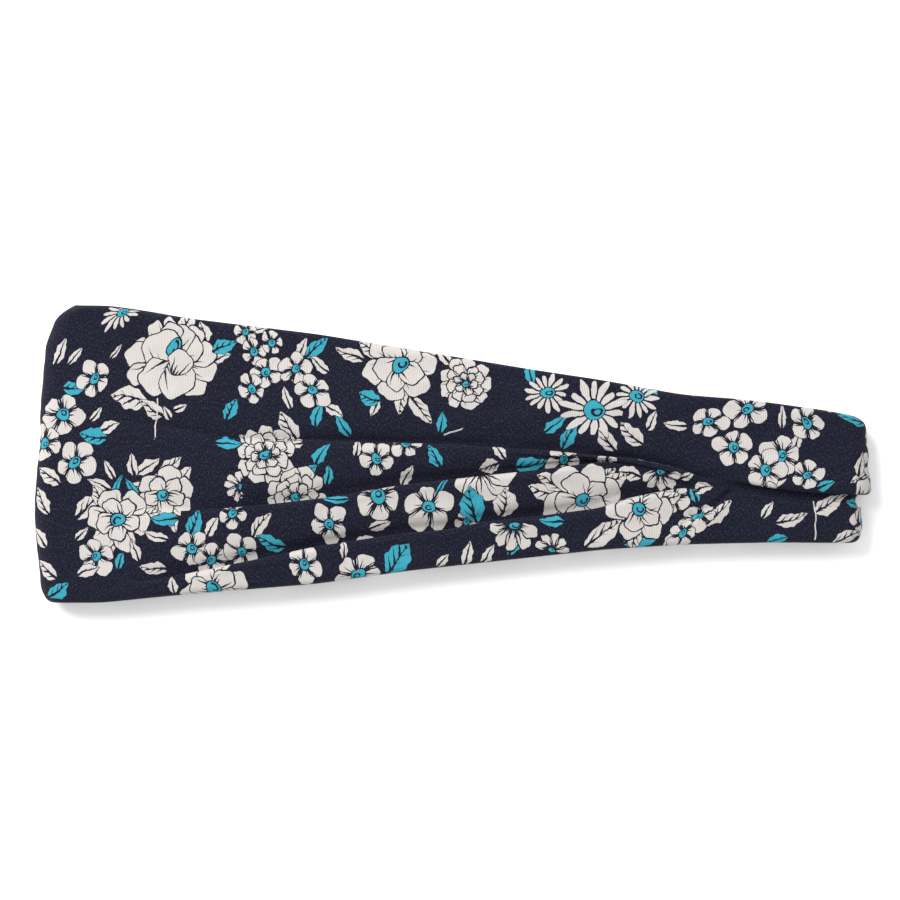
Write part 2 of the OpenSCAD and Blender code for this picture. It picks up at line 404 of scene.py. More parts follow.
    def unevenness(self, x, y):
        side = np.where(self.lower, 400.0, 0.0)
        drawn = soft_noise(0.35 * x + side, 1.2 * y, 9, 11) * ease((x + 60) / 80)
        return 0.7 * soft_noise(x + side, y, 26, 12) + 0.45 * drawn + 0.2 * soft_noise(x + side, y, 7, 13)


# ---------------------------------------------------------------- path round the loop


# The cloth's length round an end fold is taken a little outside its middle.
OUT_R = BEND_R + 1.4
TURN = math.pi * OUT_R


def flat_columns(x0, x1, step):
    """Even places along a flat stretch, about a step apart."""
    count = max(1, int(round(abs(x1 - x0) / step)))
    return np.linspace(x0, x1, count + 1)


def loop_columns(step):
    """Centre, outward direction, cloth place and names of the borders of every column of the loop."""
    columns = []
    borders = {}

    def put(x, z, nx, nz, u, lower):
        columns.append((x, z, nx, nz, u, lower))

    low_z, high_z = MID_Z - BEND_R, MID_Z + BEND_R
    quarter = (FOLD_X + BEND_X) / 2
    front_u = -FOLD_X - TURN
    back_u = FOLD_X + TURN

    def lower_front(x0, x1):
        for x in flat_columns(x0, x1, 1.4 * step)[:-1]:
            put(x, low_z, 0, -1, front_u - (x + FOLD_X), True)

    def upper(x0, x1, spacing):
        for x in flat_columns(x0, x1, spacing)[:-1]:
            put(x, high_z, 0, 1, x, False)

    def lower_back(x0, x1, spacing):
        for x in flat_columns(x0, x1, spacing)[:-1]:
            put(x, low_z, 0, -1, back_u + (FOLD_X - x), True)

    def fold(side, steps=14):
        for i in range(steps):
            a = math.pi * i / steps
            out, up = side * math.sin(a), side * math.cos(a)
            u = FOLD_X + OUT_R * (a if side > 0 else math.pi - a)
            lower = side * (a - math.pi / 2) > 0
            put(side * FOLD_X + BEND_R * out, MID_Z + BEND_R * up, out, up, side * u, lower)

    borders["seam_start"] = 0
    lower_front(SEAM_X - SEAM_CLEARANCE, 0)
    borders["lower_middle"] = len(columns)
    lower_front(0, -quarter)
    borders["lower_front"] = len(columns)
    lower_front(-quarter, -FOLD_X)
    fold(-1)
    upper(-FOLD_X, -quarter, step)
    borders["upper_front"] = len(columns)
    upper(-quarter, 0, step)
    borders["upper_middle"] = len(columns)
    upper(0, 58, step)
    upper(58, quarter, 0.7 * step)
    borders["upper_back"] = len(columns)
    upper(quarter, 92, 0.7 * step)
    upper(92, FOLD_X, step)
    fold(1)
    lower_back(FOLD_X, quarter, 1.2 * step)
    borders["lower_back"] = len(columns)
    lower_back(quarter, SEAM_X + SEAM_CLEARANCE, 1.4 * step)
    put(SEAM_X + SEAM_CLEARANCE, low_z, 0, -1, back_u + (FOLD_X - SEAM_X), True)
    borders["seam_end"] = len(columns) - 1
    return np.array(columns, float), borders


class Loop:
    """Every vertex of the tube, its normal, its place on the flat cloth and its strip."""

    def __init__(self, cloth):
        table, self.borders = loop_columns(cloth.column_step / MM)
        cx, cz, nx, nz, u, lower = table.T
        section = Section(cloth, cx, lower > 0.5)
        y, h, strips, outer = section.rows()
        self.u = np.broadcast_to(u[:, None], y.shape)
        self.strips = strips
        self.outer_rows = outer
        self.plan_x = cx
        outside = np.arange(h.shape[1]) < outer
        # At the seam a little is left of cloth that stands proud, and nothing of cloth that dips.
        proud, sunk = [self.seam_rounding(cx, lower > 0.5, left) for left in (0.35, 0.0)]
        h = h * np.where(h > 0, proud, sunk)
        x = cx[:, None] + h * nx[:, None]
        z = cz[:, None] + h * nz[:, None]
        # The end folds draw in over the width.
        x = x + front_draw(y) * ease((-cx[:, None] - 70) / (FOLD_X - 70))
        x = x - back_draw(y) * ease((cx[:, None] - 88) / (FOLD_X - 88))
        # Near the front fold the lower half shows a little past the upper edge.
        peek = 0.5 * ease((-cx - 60) / 40) * lower
        shown_y = y + peek[:, None] * ease((y + 5) / 30)
        self.places = np.stack([x, shown_y, z], axis=2)
        self.cross = self.across_cloth()
        self.y = y
        self.normals = self.vertex_normals()
        self.print_start, self.print_end = self.print_places(section.lips)
        # The tuck hides a strip of the print.
        across, fade = section.tucked(cx[:, None], y)
        hidden = 2.2 * fade * ease(across / 0.6 + 0.5) * outside
        self.print_start -= hidden
        self.print_end -= np.roll(hidden, -1, axis=1)

    def seam_rounding(self, cx, lower, left):
        """The cloth rolls down to the cross seam at both ends, to a share of its height that is left."""
        rounding = np.ones(len(cx))
        reach = 1.8
        away = np.maximum(np.abs(cx - SEAM_X) - SEAM_CLEARANCE, 0)
        near = lower & (away < reach)
        rounding[near] = left + (1 - left) * np.sqrt(1 - (1 - away[near] / reach) ** 2)
        return rounding[:, None]

    def across_cloth(self):
        """Distance across the cloth from the upper edge, along its surface."""
        steps = np.linalg.norm(np.diff(self.places, axis=1), axis=2)
        return np.concatenate([np.zeros((len(steps), 1)), np.cumsum(steps, axis=1)], axis=1)

    def print_places(self, lips):
        """Where each cell starts and ends across the print, unrolled over the lips and the edges."""
        start, end = self.y.copy(), np.roll(self.y, -1, axis=1)
        step = np.linalg.norm(np.roll(self.places, -1, axis=1) - self.places, axis=2)

        def unroll_down(first, last):
            for j in range(first, last):
                end[:, j] = start[:, j] - step[:, j]
                start[:, j + 1] = end[:, j]

        def unroll_up(first, last):
            for j in range(last, first - 1, -1):
                start[:, j] = end[:, j] + step[:, j]
                if j > first:
                    end[:, j - 1] = start[:, j]

        rolled = len(EDGE_SHARES)
        for first in lips:
            covering = start[:, first + LIP_MIDDLE].copy()
            unroll_down(first, first + LIP_MIDDLE)
            start[:, first + LIP_MIDDLE] = covering
            unroll_up(first + LIP_MIDDLE, first + len(LIP) - 2)
        unroll_up(0, rolled - 1)
        unroll_down(self.outer_rows - 1 - rolled, self.outer_rows - 1)
        return start, end

    def vertex_normals(self):
        """Smooth normals of the whole tube, so that the pieces' borders don't show."""
        p = self.places
        along = np.gradient(p, axis=0)
        across = np.roll(p, -1, axis=1) - np.roll(p, 1, axis=1)
        n = np.cross(across, along)
        return n / np.maximum(np.linalg.norm(n, axis=2, keepdims=True), 1e-9)


# ---------------------------------------------------------------- print


PETAL, PALE_LEAF, BRIGHT_LEAF, BLOSSOM, DAISY, STEM, DISC = range(1, 8)
LAYERS = 5
SPRAY_PITCH = 19


class Print:
    """The drawn shapes of the print, each an oval on the flat cloth with its own kind."""

    def __init__(self, seed):
        self.shapes = []
        self.rng = np.random.default_rng(seed)
        self.strip = 0

    def shape(self, kind, x, y, turn, long, wide):
        hand = self.rng.uniform(0.05, 0.85)
        self.shapes.append((kind + hand, x, y, math.radians(turn), long, wide, self.strip))

    def leaf(self, x, y, turn, long=4.0, wide=None, kind=PALE_LEAF):
        self.shape(kind, x, y, turn, long, wide or 0.46 * long)

    def bright(self, x, y, turn, long=3.6, wide=None):
        self.leaf(x, y, turn, long, wide, BRIGHT_LEAF)

    def stem(self, x, y, turn, long):
        self.shape(STEM, x, y, turn, long, 0.2)

    def blossom(self, x, y, r, turn=None):
        turn = self.rng.uniform(0, 360) if turn is None else turn
        self.shape(BLOSSOM, x, y, turn, r, r * self.rng.uniform(0.84, 1.0))

    def daisy(self, x, y, r, turn=0):
        self.shape(DAISY, x, y, turn, r, 0.92 * r)

    def petal_fan(self, x, y, r, count, start, step, long, wide, flat=1.0):
        """Petals round a middle, each pointing outwards, with a hand's unevenness."""
        for i in range(count):
            a = math.radians(start + step * i + self.rng.uniform(-0.12, 0.12) * step)
            size = long * self.rng.uniform(0.88, 1.1)
            px = x + (r - size) * math.cos(a)
            py = y + (r - size) * math.sin(a) * flat
            outwards = math.degrees(math.atan2(math.sin(a) * flat, math.cos(a)))
            self.shape(PETAL, px, py, outwards, size, wide * self.rng.uniform(0.9, 1.12))

    def petal_ring(self, x, y, r, count, start, long, wide, flat=1.0):
        self.petal_fan(x, y, r, count, start, 360 / count, long, wide, flat)

    def large_flower(self, x, y, r, turn=0):
        """Pointed leaves behind two rings of broad petals round a bright middle."""
        for k in range(3):
            a = math.radians(turn + 120 * k + 20)
            lx, ly = x + 0.9 * r * math.cos(a), y + 0.9 * r * math.sin(a)
            self.leaf(lx, ly, math.degrees(a), 0.42 * r, 0.22 * r)
        self.petal_ring(x, y, r, 6, turn, 0.42 * r, 0.36 * r)
        self.petal_ring(x, y, 0.7 * r, 5, turn + 30, 0.34 * r, 0.29 * r)
        self.shape(DISC, x, y, turn, 0.23 * r, 0.22 * r)

    def peony(self, x, y, r):
        """A full flower from a little to one side: side petals, a cup of back ones, broad front ones."""
        self.petal_fan(x, y, 1.04 * r, 3, 96, 28, 0.26 * r, 0.2 * r)
        self.petal_fan(x, y, 1.14 * r, 2, 168, 34, 0.38 * r, 0.28 * r, 0.8)
        self.petal_fan(x, y, 1.1 * r, 4, -50, 34, 0.36 * r, 0.27 * r, 0.85)
        self.petal_fan(x, y + 0.12 * r, 0.82 * r, 3, 24, 34, 0.36 * r, 0.3 * r, 0.9)
        self.shape(PETAL, x - 0.2 * r, y + 0.2 * r, 100, 0.52 * r, 0.5 * r)
        self.shape(DISC, x + 0.1 * r, y + 0.3 * r, 70, 0.24 * r, 0.19 * r)
        self.petal_fan(x - 0.04 * r, y - 0.1 * r, 0.84 * r, 2, 222, 72, 0.46 * r, 0.4 * r, 0.75)
        self.shape(PETAL, x + 0.22 * r, y - 0.02 * r, 60, 0.3 * r, 0.3 * r)

    def rosette(self, x, y, r, turn=0):
        """A small double flower with many short petals."""
        self.petal_ring(x, y, r, 9, turn, 0.3 * r, 0.29 * r)
        self.petal_ring(x, y, 0.74 * r, 8, turn + 20, 0.26 * r, 0.24 * r)
        self.petal_ring(x, y, 0.48 * r, 6, turn + 5, 0.2 * r, 0.18 * r)
        self.shape(DISC, x, y, turn, 0.2 * r, 0.17 * r)

    def side_flower(self, x, y, r, turn):
        """A flower seen from the side: a fan of petals over a bright middle."""
        self.petal_fan(x, y, r, 5, turn - 76, 38, 0.46 * r, 0.26 * r)
        self.shape(DISC, x, y, turn + 90, 0.26 * r, 0.17 * r)

    def place(self, strip, **drawn):
        """Draws each named motif at each of its places, on one strip of the cloth."""
        self.strip = strip
        for motif, places in drawn.items():
            for place in places:
                getattr(self, motif)(*place)

    def scattered(self, x0, x1, past, strip_at):
        """Sprays at uneven places over a stretch of cloth, to a little past its edges or short of them."""
        rng = self.rng
        pitch = SPRAY_PITCH
        for i in range(int((x1 - x0) / pitch) + 1):
            x = x0 + i * pitch
            y = lower_edge(from_above(x)) - past + rng.uniform(0, pitch)
            while y < upper_edge(from_above(x)) + past:
                px = x + rng.uniform(-0.25, 0.25) * pitch
                py = y + rng.uniform(-0.15, 0.15) * pitch
                self.strip = strip_at(px, py)
                self.spray(px, py, pitch * rng.uniform(0.36, 0.46))
                y += pitch * rng.uniform(0.85, 1.05)

    def spray(self, x, y, r):
        """A flower with leaves round it, drawn one of several ways."""
        rng = self.rng
        turn = rng.uniform(0, 360)
        for k in range(3):
            a = math.radians(turn + 120 * k + rng.uniform(-25, 25))
            far = r * rng.uniform(1.0, 1.3)
            place = (x + far * math.cos(a), y + far * math.sin(a), math.degrees(a) + rng.uniform(-30, 30))
            if rng.random() < 0.4:
                self.bright(*place, 0.4 * r + 0.8)
            else:
                self.leaf(*place, 0.5 * r + 0.8)
        way = rng.integers(0, 5)
        if way == 0:
            self.large_flower(x, y, r, turn)
        elif way == 1:
            self.daisy(x, y, 0.95 * r, turn)
        elif way == 2:
            self.rosette(x, y, r, turn)
        else:
            for k in range(4):
                a = math.radians(turn + 90 * k)
                self.blossom(x + 0.66 * r * math.cos(a), y + 0.66 * r * math.sin(a), 0.62 * r)


def strip_at(x, y):
    """The strip of the outer face that holds a place."""
    return int(y < line_a(x)) + int(y < line_b(x)) + int(y < line_c(x))


def upper_field_print(p):
    """The flowers on the wide top strip, from the front fold to the back."""
    p.place(
        0,
        leaf=[(-115.3, 29.5, 80, 4, 1.6), (-110.4, 28, 50, 3.3, 1.5), (-98, 29.4, 52, 3, 1.1),
              (-93, 16, 165, 6, 3.2), (-86.5, 13, 150, 4.6, 2.2), (-81.6, 11.6, 120, 2.8),
              (-77.6, 13.2, 30, 2.6), (-98.8, 7.8, 25, 3.8), (-103, 11, 50, 3),
              (-115.8, -6.6, 145, 4.6), (-117.4, -13.2, 120, 5), (-76, 38.2, 60, 4.4, 2.4),
              (-71, 35, 110, 4, 2.2), (-66, 27.5, 20, 3.6)],
        stem=[(-84.9, 10, 88, 5.4)],
        daisy=[(-100, 41.2, 7, 0)],
        peony=[(-80.8, 26.4, 12.8)],
        bright=[(-109.8, 19, 10, 3.6, 2.2), (-103.5, 5.3, 172, 4.2, 2.4)],
    )
    p.place(
        0,
        blossom=[(-104.4, 21.5, 5.8, 80), (-113, 11.3, 7.2, 100), (-118, 3.4, 6.6, 10),
                 (-108.2, -2.2, 6.8, 90)],
        leaf=[(-98.2, -4.4, 120, 3.6, 1.5), (-101.2, -8.6, 160, 4.4, 1.7), (-104, -14.8, 35, 5.2, 2.2),
              (-87.2, -3.2, 30, 4.6, 1.9), (-80.6, -3.6, 35, 4.8, 2), (-91.6, -3, 100, 3.6, 1.5),
              (-83.6, -7, 10, 4.4, 1.9), (-118.5, -24, 130, 4, 1.8)],
    )
    p.place(
        1,
        large_flower=[(-82.2, -11.8, 8.6, 25)],
        bright=[(-96.4, -10.2, 62, 5.6, 1.3), (-91.2, -10.8, 118, 5, 1.3)],
    )
    p.place(
        0,
        bright=[(-64.9, 31, 25, 4, 2.4), (-62.9, 12.8, 70, 3.7, 2), (-38.3, 30.3, 40, 4.2, 2.4),
                (-38.2, 11, 75, 4), (-31, 8.4, 120, 4.4, 1.8)],
        leaf=[(-42.5, 30.6, 70, 3.5), (-47, 16.2, 100, 3.4), (-37.4, 25.7, 140, 3.6),
              (-54.5, 35.6, 10, 3), (-33.4, 12.4, -30, 3.6)],
        blossom=[(-59, 35, 4.6), (-56.9, 29.6, 4.8), (-51.2, 32.2, 4.6), (-53, 23.4, 5.2),
                 (-45.1, 24.4, 5.7), (-57.2, 19, 5.4), (-39.6, 18.2, 6.2)],
    )
    p.place(
        0,
        leaf=[(-29, 28.6, 155, 4.8, 2), (-22, 13.4, 250, 3.2), (-8.8, 12.6, 305, 5, 2.3),
              (-24.6, 33, 120, 4), (-2.2, 28.4, 130, 3.8)],
        bright=[(-23.6, 16.4, 160, 3.4, 2.3), (-3, 9, 85, 3.8, 1.7)],
        large_flower=[(-14.6, 25.4, 10.8, 10)],
        rosette=[(4, 20.4, 7.9, 40)],
        stem=[(0.5, 6.2, 20, 2.6)],
    )
    p.place(
        0,
        bright=[(29.6, 8.6, 35, 4.4, 1.9), (34, 5, 60, 4.6, 2.2), (22.4, 23.4, 100, 3.6),
                (56, 17.8, 160, 4)],
        leaf=[(51.6, 6, 135, 5, 2.6), (64.4, 8.2, 175, 3.7, 1.7), (44.6, 4.4, 120, 5, 2.3),
              (57.5, 9.5, 60, 3.6)],
        daisy=[(27.3, 17.6, 7.6, 5), (53.2, 16.6, 7.4, 30), (40.8, 12.8, 10.8, 0)],
    )
    p.place(
        0,
        leaf=[(95.1, 10.6, 85, 3.8, 1.4), (117, -3, 75, 3.6, 1.7), (69, 20, 100, 4), (98.6, 3.4, 80, 3.2),
              (112, 14, 20, 3), (92, -8, 200, 4)],
        bright=[(117, 10.6, 150, 4, 2.2), (107, -9, 20, 3)],
        blossom=[(84.8, 13, 7.8), (73.8, 9.2, 5.8), (102.6, 9, 6.2), (80.6, 1.9, 6.4), (101.8, -5.6, 5.8),
                 (94.3, -0.6, 7.2), (90, -4.6, 6.6), (90.2, -12.4, 5.6)],
    )
    p.place(0, petal_fan=[(118.4, -13.6, 7, 1, 90, 0, 3.6, 2.8)])


def strip_print(p):
    """The flowers on the pleated strips of the top face, and between them and the front fold."""
    p.place(
        1,
        leaf=[(-46.8, 8, 120, 5.4, 2.4), (-59, 4, 140, 3.4), (-44.8, 2.4, 200, 3),
              (-12.8, -6.2, 60, 3.8, 1.8), (13.8, 1.6, 120, 3.8, 1.9), (10.6, -3.6, 200, 3.4, 2),
              (-27, 2, 80, 3), (-62, -11.6, 170, 3.4)],
        bright=[(-64, 3.2, 5, 3.8, 1.8), (-37, 0, 60, 4.2), (-4.9, -0.6, 115, 4, 2), (-41, -5, 30, 3.4),
                (22.6, -2.8, 15, 5, 2.5), (31.8, -6, 150, 4, 2), (-35.5, -6, 80, 3.2)],
        rosette=[(-53.2, -0.2, 8.9, 10), (-44.2, -12.2, 9, 35)],
        side_flower=[(-60.4, -9.4, 5.4, 175)],
        blossom=[(-21.5, -1, 6, 15), (-12.9, 3.2, 5.4, 40), (32, -1.8, 6), (44.6, -3.6, 5)],
    )
    p.place(
        1,
        side_flower=[(58.8, -1.6, 7, 90), (60, -5.2, 6.4, 270)],
        leaf=[(50.6, -5.4, 170, 4, 2), (68, -6.4, 20, 3)],
        large_flower=[(-95.6, -18.6, 9.4, 230)],
        bright=[(-82.2, -18.6, 175, 4.4, 1.9)],
    )
    p.place(
        1,
        blossom=[(-102.6, -29.4, 6, 200)],
        leaf=[(-106.4, -23, 50, 3.4, 1.4), (-105, -33.4, 20, 3.8, 1.9), (-84.5, -23.4, 160, 4, 1.7),
              (-91, -27.4, 110, 3.8, 1.6), (-117.6, -33, 140, 4.4, 2)],
        bright=[(-95.8, -30.6, 75, 3.4, 1.5)],
    )
    p.place(
        2,
        leaf=[(-86, -32.6, 175, 4.4, 2), (-54.6, -20.2, 55, 4.6, 2.2), (-68.4, -20.8, 60, 4, 1.9),
              (-20.6, -20.4, 20, 3.6), (-25, -25, 200, 3.4), (26, -11, 165, 5.4, 2.4),
              (44, -6.6, 40, 4.4, 2.2), (47.6, -16, 300, 4, 2)],
        bright=[(-73.6, -19.8, 65, 4.4, 2.2), (-51.6, -25, 160, 4.6, 2.2), (-33.4, -12.6, 170, 4.6, 1.3),
                (-2.8, -9.2, 60, 4, 0.9), (31.4, -6.4, 70, 3.6, 2), (45, -9, 120, 3.6)],
        blossom=[(-62.6, -16.6, 5, 90), (-74.4, -27, 6.2), (-68.6, -30.2, 5.6), (-60.4, -28, 6),
                 (-34.9, -20.1, 7), (-21, -12.2, 8.4, 95), (-6.6, -15.2, 8.2), (4.4, -19.4, 4)],
    )
    p.place(
        2,
        petal_fan=[(9, -4, 10, 5, 220, 32, 4.4, 3.3)],
        bright=[(6, -14.4, 100, 5.4, 3.6)],
        leaf=[(15.3, -13.8, 80, 4.6, 3.6)],
        large_flower=[(37.4, -13, 11.4, 10)],
    )
    p.place(
        3,
        leaf=[(-2.4, -30.6, 50, 3.4), (4.6, -28.8, 75, 3.6), (10.6, -28.6, 60, 3.4),
              (43.6, -22.6, 40, 6.4, 3), (76.6, -19, 40, 5.6, 2.4), (-44, -25, 50, 3),
              (-31, -27.2, 100, 3), (63, -24, 60, 4), (-80, -37.2, 100, 3.4)],
        bright=[(-15.1, -30, 55, 5.8, 3.9), (18.2, -25.2, 70, 4.4, 2), (29, -19, 170, 3.6),
                (-114.6, -39.2, 30, 4.4), (54.6, -24.2, 15, 6, 3), (69.4, -11.4, 100, 3),
                (93.7, -25, 10, 4)],
        large_flower=[(-68, -38.6, 10.4, 80)],
        blossom=[(-42, -31.6, 6.8), (-26.6, -34.6, 8.2), (63.6, -12.4, 5.4)],
    )
    p.place(
        3,
        side_flower=[(17.8, -20.6, 7.6, 265), (28.6, -27.6, 5.6, 80)],
        large_flower=[(53.8, -15.8, 9.8, 0)],
        blossom=[(70.6, -19, 6.6, 20), (66, -24, 5)],
        leaf=[(97.8, -18.6, 18, 5.8, 2.3), (109.6, -14.2, 33, 6.2, 2.5), (90.4, -15.8, 60, 3.4, 1.4),
              (115.4, -24, 30, 4.4, 2.2), (119, -17, 70, 3), (72, -9.8, 20, 3.4, 1.7)],
        stem=[(105.2, -18.8, 95, 5.2)],
    )


def from_above(u):
    """Where a place along the cloth lies on the folded band, on either half."""
    if abs(u) < FOLD_X + TURN:
        return min(max(u, -FOLD_X), FOLD_X)
    return math.copysign(1, u) * (2 * FOLD_X + TURN - abs(u))


def loop_print():
    """Every shape of the print round the loop's outer face, and on its inner face."""
    outer = Print(5)
    low_end = -2 * FOLD_X - TURN
    for u0, u1 in (
        (low_end - SEAM_X - 4, low_end + FOLD_X + 3),
        (-low_end - FOLD_X - 3, -low_end - SEAM_X + 4),
    ):
        outer.scattered(u0, u1, 2, lambda u, y: strip_at(from_above(u), y))
    upper_field_print(outer)
    strip_print(outer)
    inner = Print(9)
    inner.scattered(low_end - SEAM_X, -low_end, -5, lambda u, y: STRIPS)
    return inner.shapes + outer.shapes


def hand_drawn(u, y, seed):
    """How far a line of the print strays from its place, as a drawing hand does."""
    return 0.34 * soft_noise(u, y, 11, seed) + 0.14 * soft_noise(u, y, 5, seed + 10)


def may_cross(loop):
    """For each strip, the cells where its print goes on: past a line that lies open, or round an edge."""
    x = loop.plan_x[:-1]
    lying_open = [np.abs(fold(x)) < 0.3 for fold in (fold_a, fold_b, fold_c)]
    cell_strip = np.array(loop.strips)
    edges = {0: upper_edge(x), STRIPS - 1: lower_edge(x)}
    allowed = []
    for own in range(STRIPS):
        table = np.zeros((len(x), len(cell_strip)), bool)
        for other in range(STRIPS):
            open_way = np.ones(len(x), bool)
            for line in range(min(own, other), max(own, other)):
                open_way &= lying_open[line]
            table[:, cell_strip == other] = open_way[:, None]
        if own in edges:
            near = np.abs(loop.y[:-1] - edges[own][:, None]) < 0.25 * FULL_W
            table |= near & (cell_strip == STRIPS)
        allowed.append(table)
    allowed.append(np.broadcast_to(cell_strip == STRIPS, table.shape))
    return allowed


def print_across(loop, strip):
    """Where the corners of every cell lie across the print, as seen by the shapes of one strip."""
    wander = hand_drawn(loop.u, loop.y, 22)
    first, last = loop.print_start + wander, loop.print_end + np.roll(wander, -1, axis=1)
    outer = loop.outer_rows
    if strip in (0, STRIPS - 1):
        row, edge = (0, upper_edge) if strip == 0 else (outer - 1, lower_edge)
        turn = first[:, row:row + 1] + edge(loop.plan_x)[:, None]
        first[:, outer:] = turn - first[:, outer:]
        last[:, outer:] = turn - last[:, outer:]
    return np.stack([first[:-1], last[:-1], last[1:], first[1:]], axis=2)


def printed_cells(loop):
    """For each cell and layer, the topmost shapes' own coordinates at its four corners."""
    u = loop.u + hand_drawn(loop.u, loop.y, 21)
    ahead = np.roll(u, -1, axis=1)
    corners_u = np.stack([u[:-1], ahead[:-1], ahead[1:], u[1:]], axis=2)
    across_by_strip = [print_across(loop, strip) for strip in range(STRIPS + 1)]
    mid_u = corners_u.mean(axis=2)
    allowed = may_cross(loop)
    count = np.zeros(mid_u.shape, int)
    layers = np.zeros((*mid_u.shape, LAYERS, 4, 4), np.float32)
    for kind, x, py, angle, long, wide, strip in reversed(loop_print()):
        far = max(long, wide)
        i0, i1 = np.searchsorted(loop.u[:, 0], [x - far - 3, x + far + 3])
        i1 = min(i1, len(mid_u))
        if i1 <= i0:
            continue
        part = slice(i0, i1)
        corners_y = across_by_strip[strip]
        ca, sa = math.cos(angle), math.sin(angle)
        du, dy = mid_u[part] - x, corners_y[part].mean(axis=2) - py
        reach = 0.25 + 0.5 * np.hypot(np.ptp(corners_u[part], axis=2), np.ptp(corners_y[part], axis=2))
        along, across = du * ca + dy * sa, dy * ca - du * sa
        hit = (np.abs(along) < long + reach) & (np.abs(across) < wide + reach)
        hit &= allowed[strip][part] & (count[part] < LAYERS)
        if not hit.any():
            continue
        ii, jj = np.nonzero(hit)
        ii = ii + i0
        cu, cy = corners_u[ii, jj] - x, corners_y[ii, jj] - py
        c = (cu * ca + cy * sa) / long
        v = (cy * ca - cu * sa) / wide
        slots = count[ii, jj]
        values = np.stack([c, v, np.full_like(c, kind), np.full_like(c, wide)], axis=2)
        layers[ii, jj, slots] = values
        covered = within(int(kind), c, v).all(axis=1)
        count[ii, jj] = np.where(covered, LAYERS, slots + 1)
    return layers


def within(kind, c, v):
    """Whether a place is well inside a shape, so that nothing under it can show."""
    r = np.hypot(c, v)
    if kind in (PALE_LEAF, BRIGHT_LEAF):
        return np.abs(v) < 0.6 * (1 - c * c) - 0.15
    if kind == STEM:
        return np.zeros(c.shape, bool)
    return r < {BLOSSOM: 0.45, DAISY: 0.36}.get(kind, 0.7)


# ---------------------------------------------------------------- node groups


def between(operation):
    """The method that puts a Math node between two values, and the one with the two swapped."""
    return (
        lambda self, other: self.nodes.math(operation, self, other),
        lambda self, other: self.nodes.math(operation, other, self),
    )


def after(operation):
    """The method that puts a Math node after a value."""
    return lambda self: self.nodes.math(operation, self)


class Value:
    """What a node puts out. It is added and compared as a number is, and | takes the larger of two."""

    __add__, __radd__ = between("ADD")
    __sub__, __rsub__ = between("SUBTRACT")
    __mul__, __rmul__ = between("MULTIPLY")
    __truediv__, __rtruediv__ = between("DIVIDE")
    __lt__ = between("LESS_THAN")[0]
    __gt__ = between("GREATER_THAN")[0]
    __or__ = between("MAXIMUM")[0]
    __abs__ = after("ABSOLUTE")
    floor = after("FLOOR")
    fract = after("FRACT")
    sine = after("SINE")

    def __init__(self, nodes, socket):
        self.nodes = nodes
        self.socket = socket


class Nodes:
    """Builds a node tree from short expressions."""

    def __init__(self, tree):
        self.tree = tree

    def node(self, kind, **settings):
        made = self.tree.nodes.new(kind)
        for key, value in settings.items():
            setattr(made, key, value)
        return made

    def give(self, node, values):
        """Puts a value, or a plain number or colour, on each of a node's named inputs."""
        for key, value in values.items():
            if isinstance(value, Value):
                self.tree.links.new(value.socket, node.inputs[key])
            else:
                node.inputs[key].default_value = value

    def outputs(self, node):
        return {socket.name: Value(self, socket) for socket in node.outputs}

    def value(self, kind, values, output=0, **settings):
        """What a new node puts out, from the values on its inputs."""
        made = self.node(kind, **settings)
        self.give(made, values)
        return Value(self, made.outputs[output])

    def math(self, operation, *values, clamp=False):
        return self.value("ShaderNodeMath", dict(enumerate(values)), operation=operation, use_clamp=clamp)

    def length(self, a, b):
        return self.math("SQRT", a * a + b * b)

    def attribute(self, name):
        return self.outputs(self.node("ShaderNodeAttribute", attribute_name=name))

    def split(self, vector):
        made = self.node("ShaderNodeSeparateXYZ")
        self.give(made, {0: vector})
        return self.outputs(made).values()

    def combine(self, *parts):
        return self.value("ShaderNodeCombineXYZ", dict(enumerate(parts)))

    def add_vectors(self, a, b):
        return self.value("ShaderNodeVectorMath", {0: a, 1: b}, operation="ADD")

    def blend_colour(self, share, a, b):
        return self.value("ShaderNodeMix", {0: share, 6: a, 7: b}, 2, data_type="RGBA")

    def noise(self, vector, scale, detail=2.0, roughness=0.5):
        values = {"Vector": vector, "Scale": scale, "Detail": detail, "Roughness": roughness}
        return self.value("ShaderNodeTexNoise", values, "Fac")

    def use(self, group, **values):
        made = self.node("ShaderNodeGroup")
        made.node_tree = group
        self.give(made, values)
        return self.outputs(made)


def new_group(name, inputs, outputs):
    """A node group with named sockets, its builder, what comes in, and the node for what goes out."""
    group = bpy.data.node_groups.new(name, "ShaderNodeTree")
    for socket_name, kind, default in inputs:
        socket = group.interface.new_socket(socket_name, in_out="INPUT", socket_type=kind)
        if default is not None:
            socket.default_value = default
    for socket_name in outputs:
        group.interface.new_socket(socket_name, in_out="OUTPUT", socket_type="NodeSocketFloat")
    n = Nodes(group)
    return group, n, n.outputs(n.node("NodeGroupInput")), n.node("NodeGroupOutput")


def stroke(q, count, reach, along, size, span, line):
    """Tapering pen strokes fanned over a petal: q counts across it, along runs from its base to its tip."""
    pen = q * count
    long = reach * (0.72 + 0.4 * (pen.floor() * 2.4).sine())
    off = abs((pen + 32.0).fract() - 0.5)
    thin = 1.0 - along / (long | 0.02)
    return off * span * (size / count) < thin * (line * 0.85)


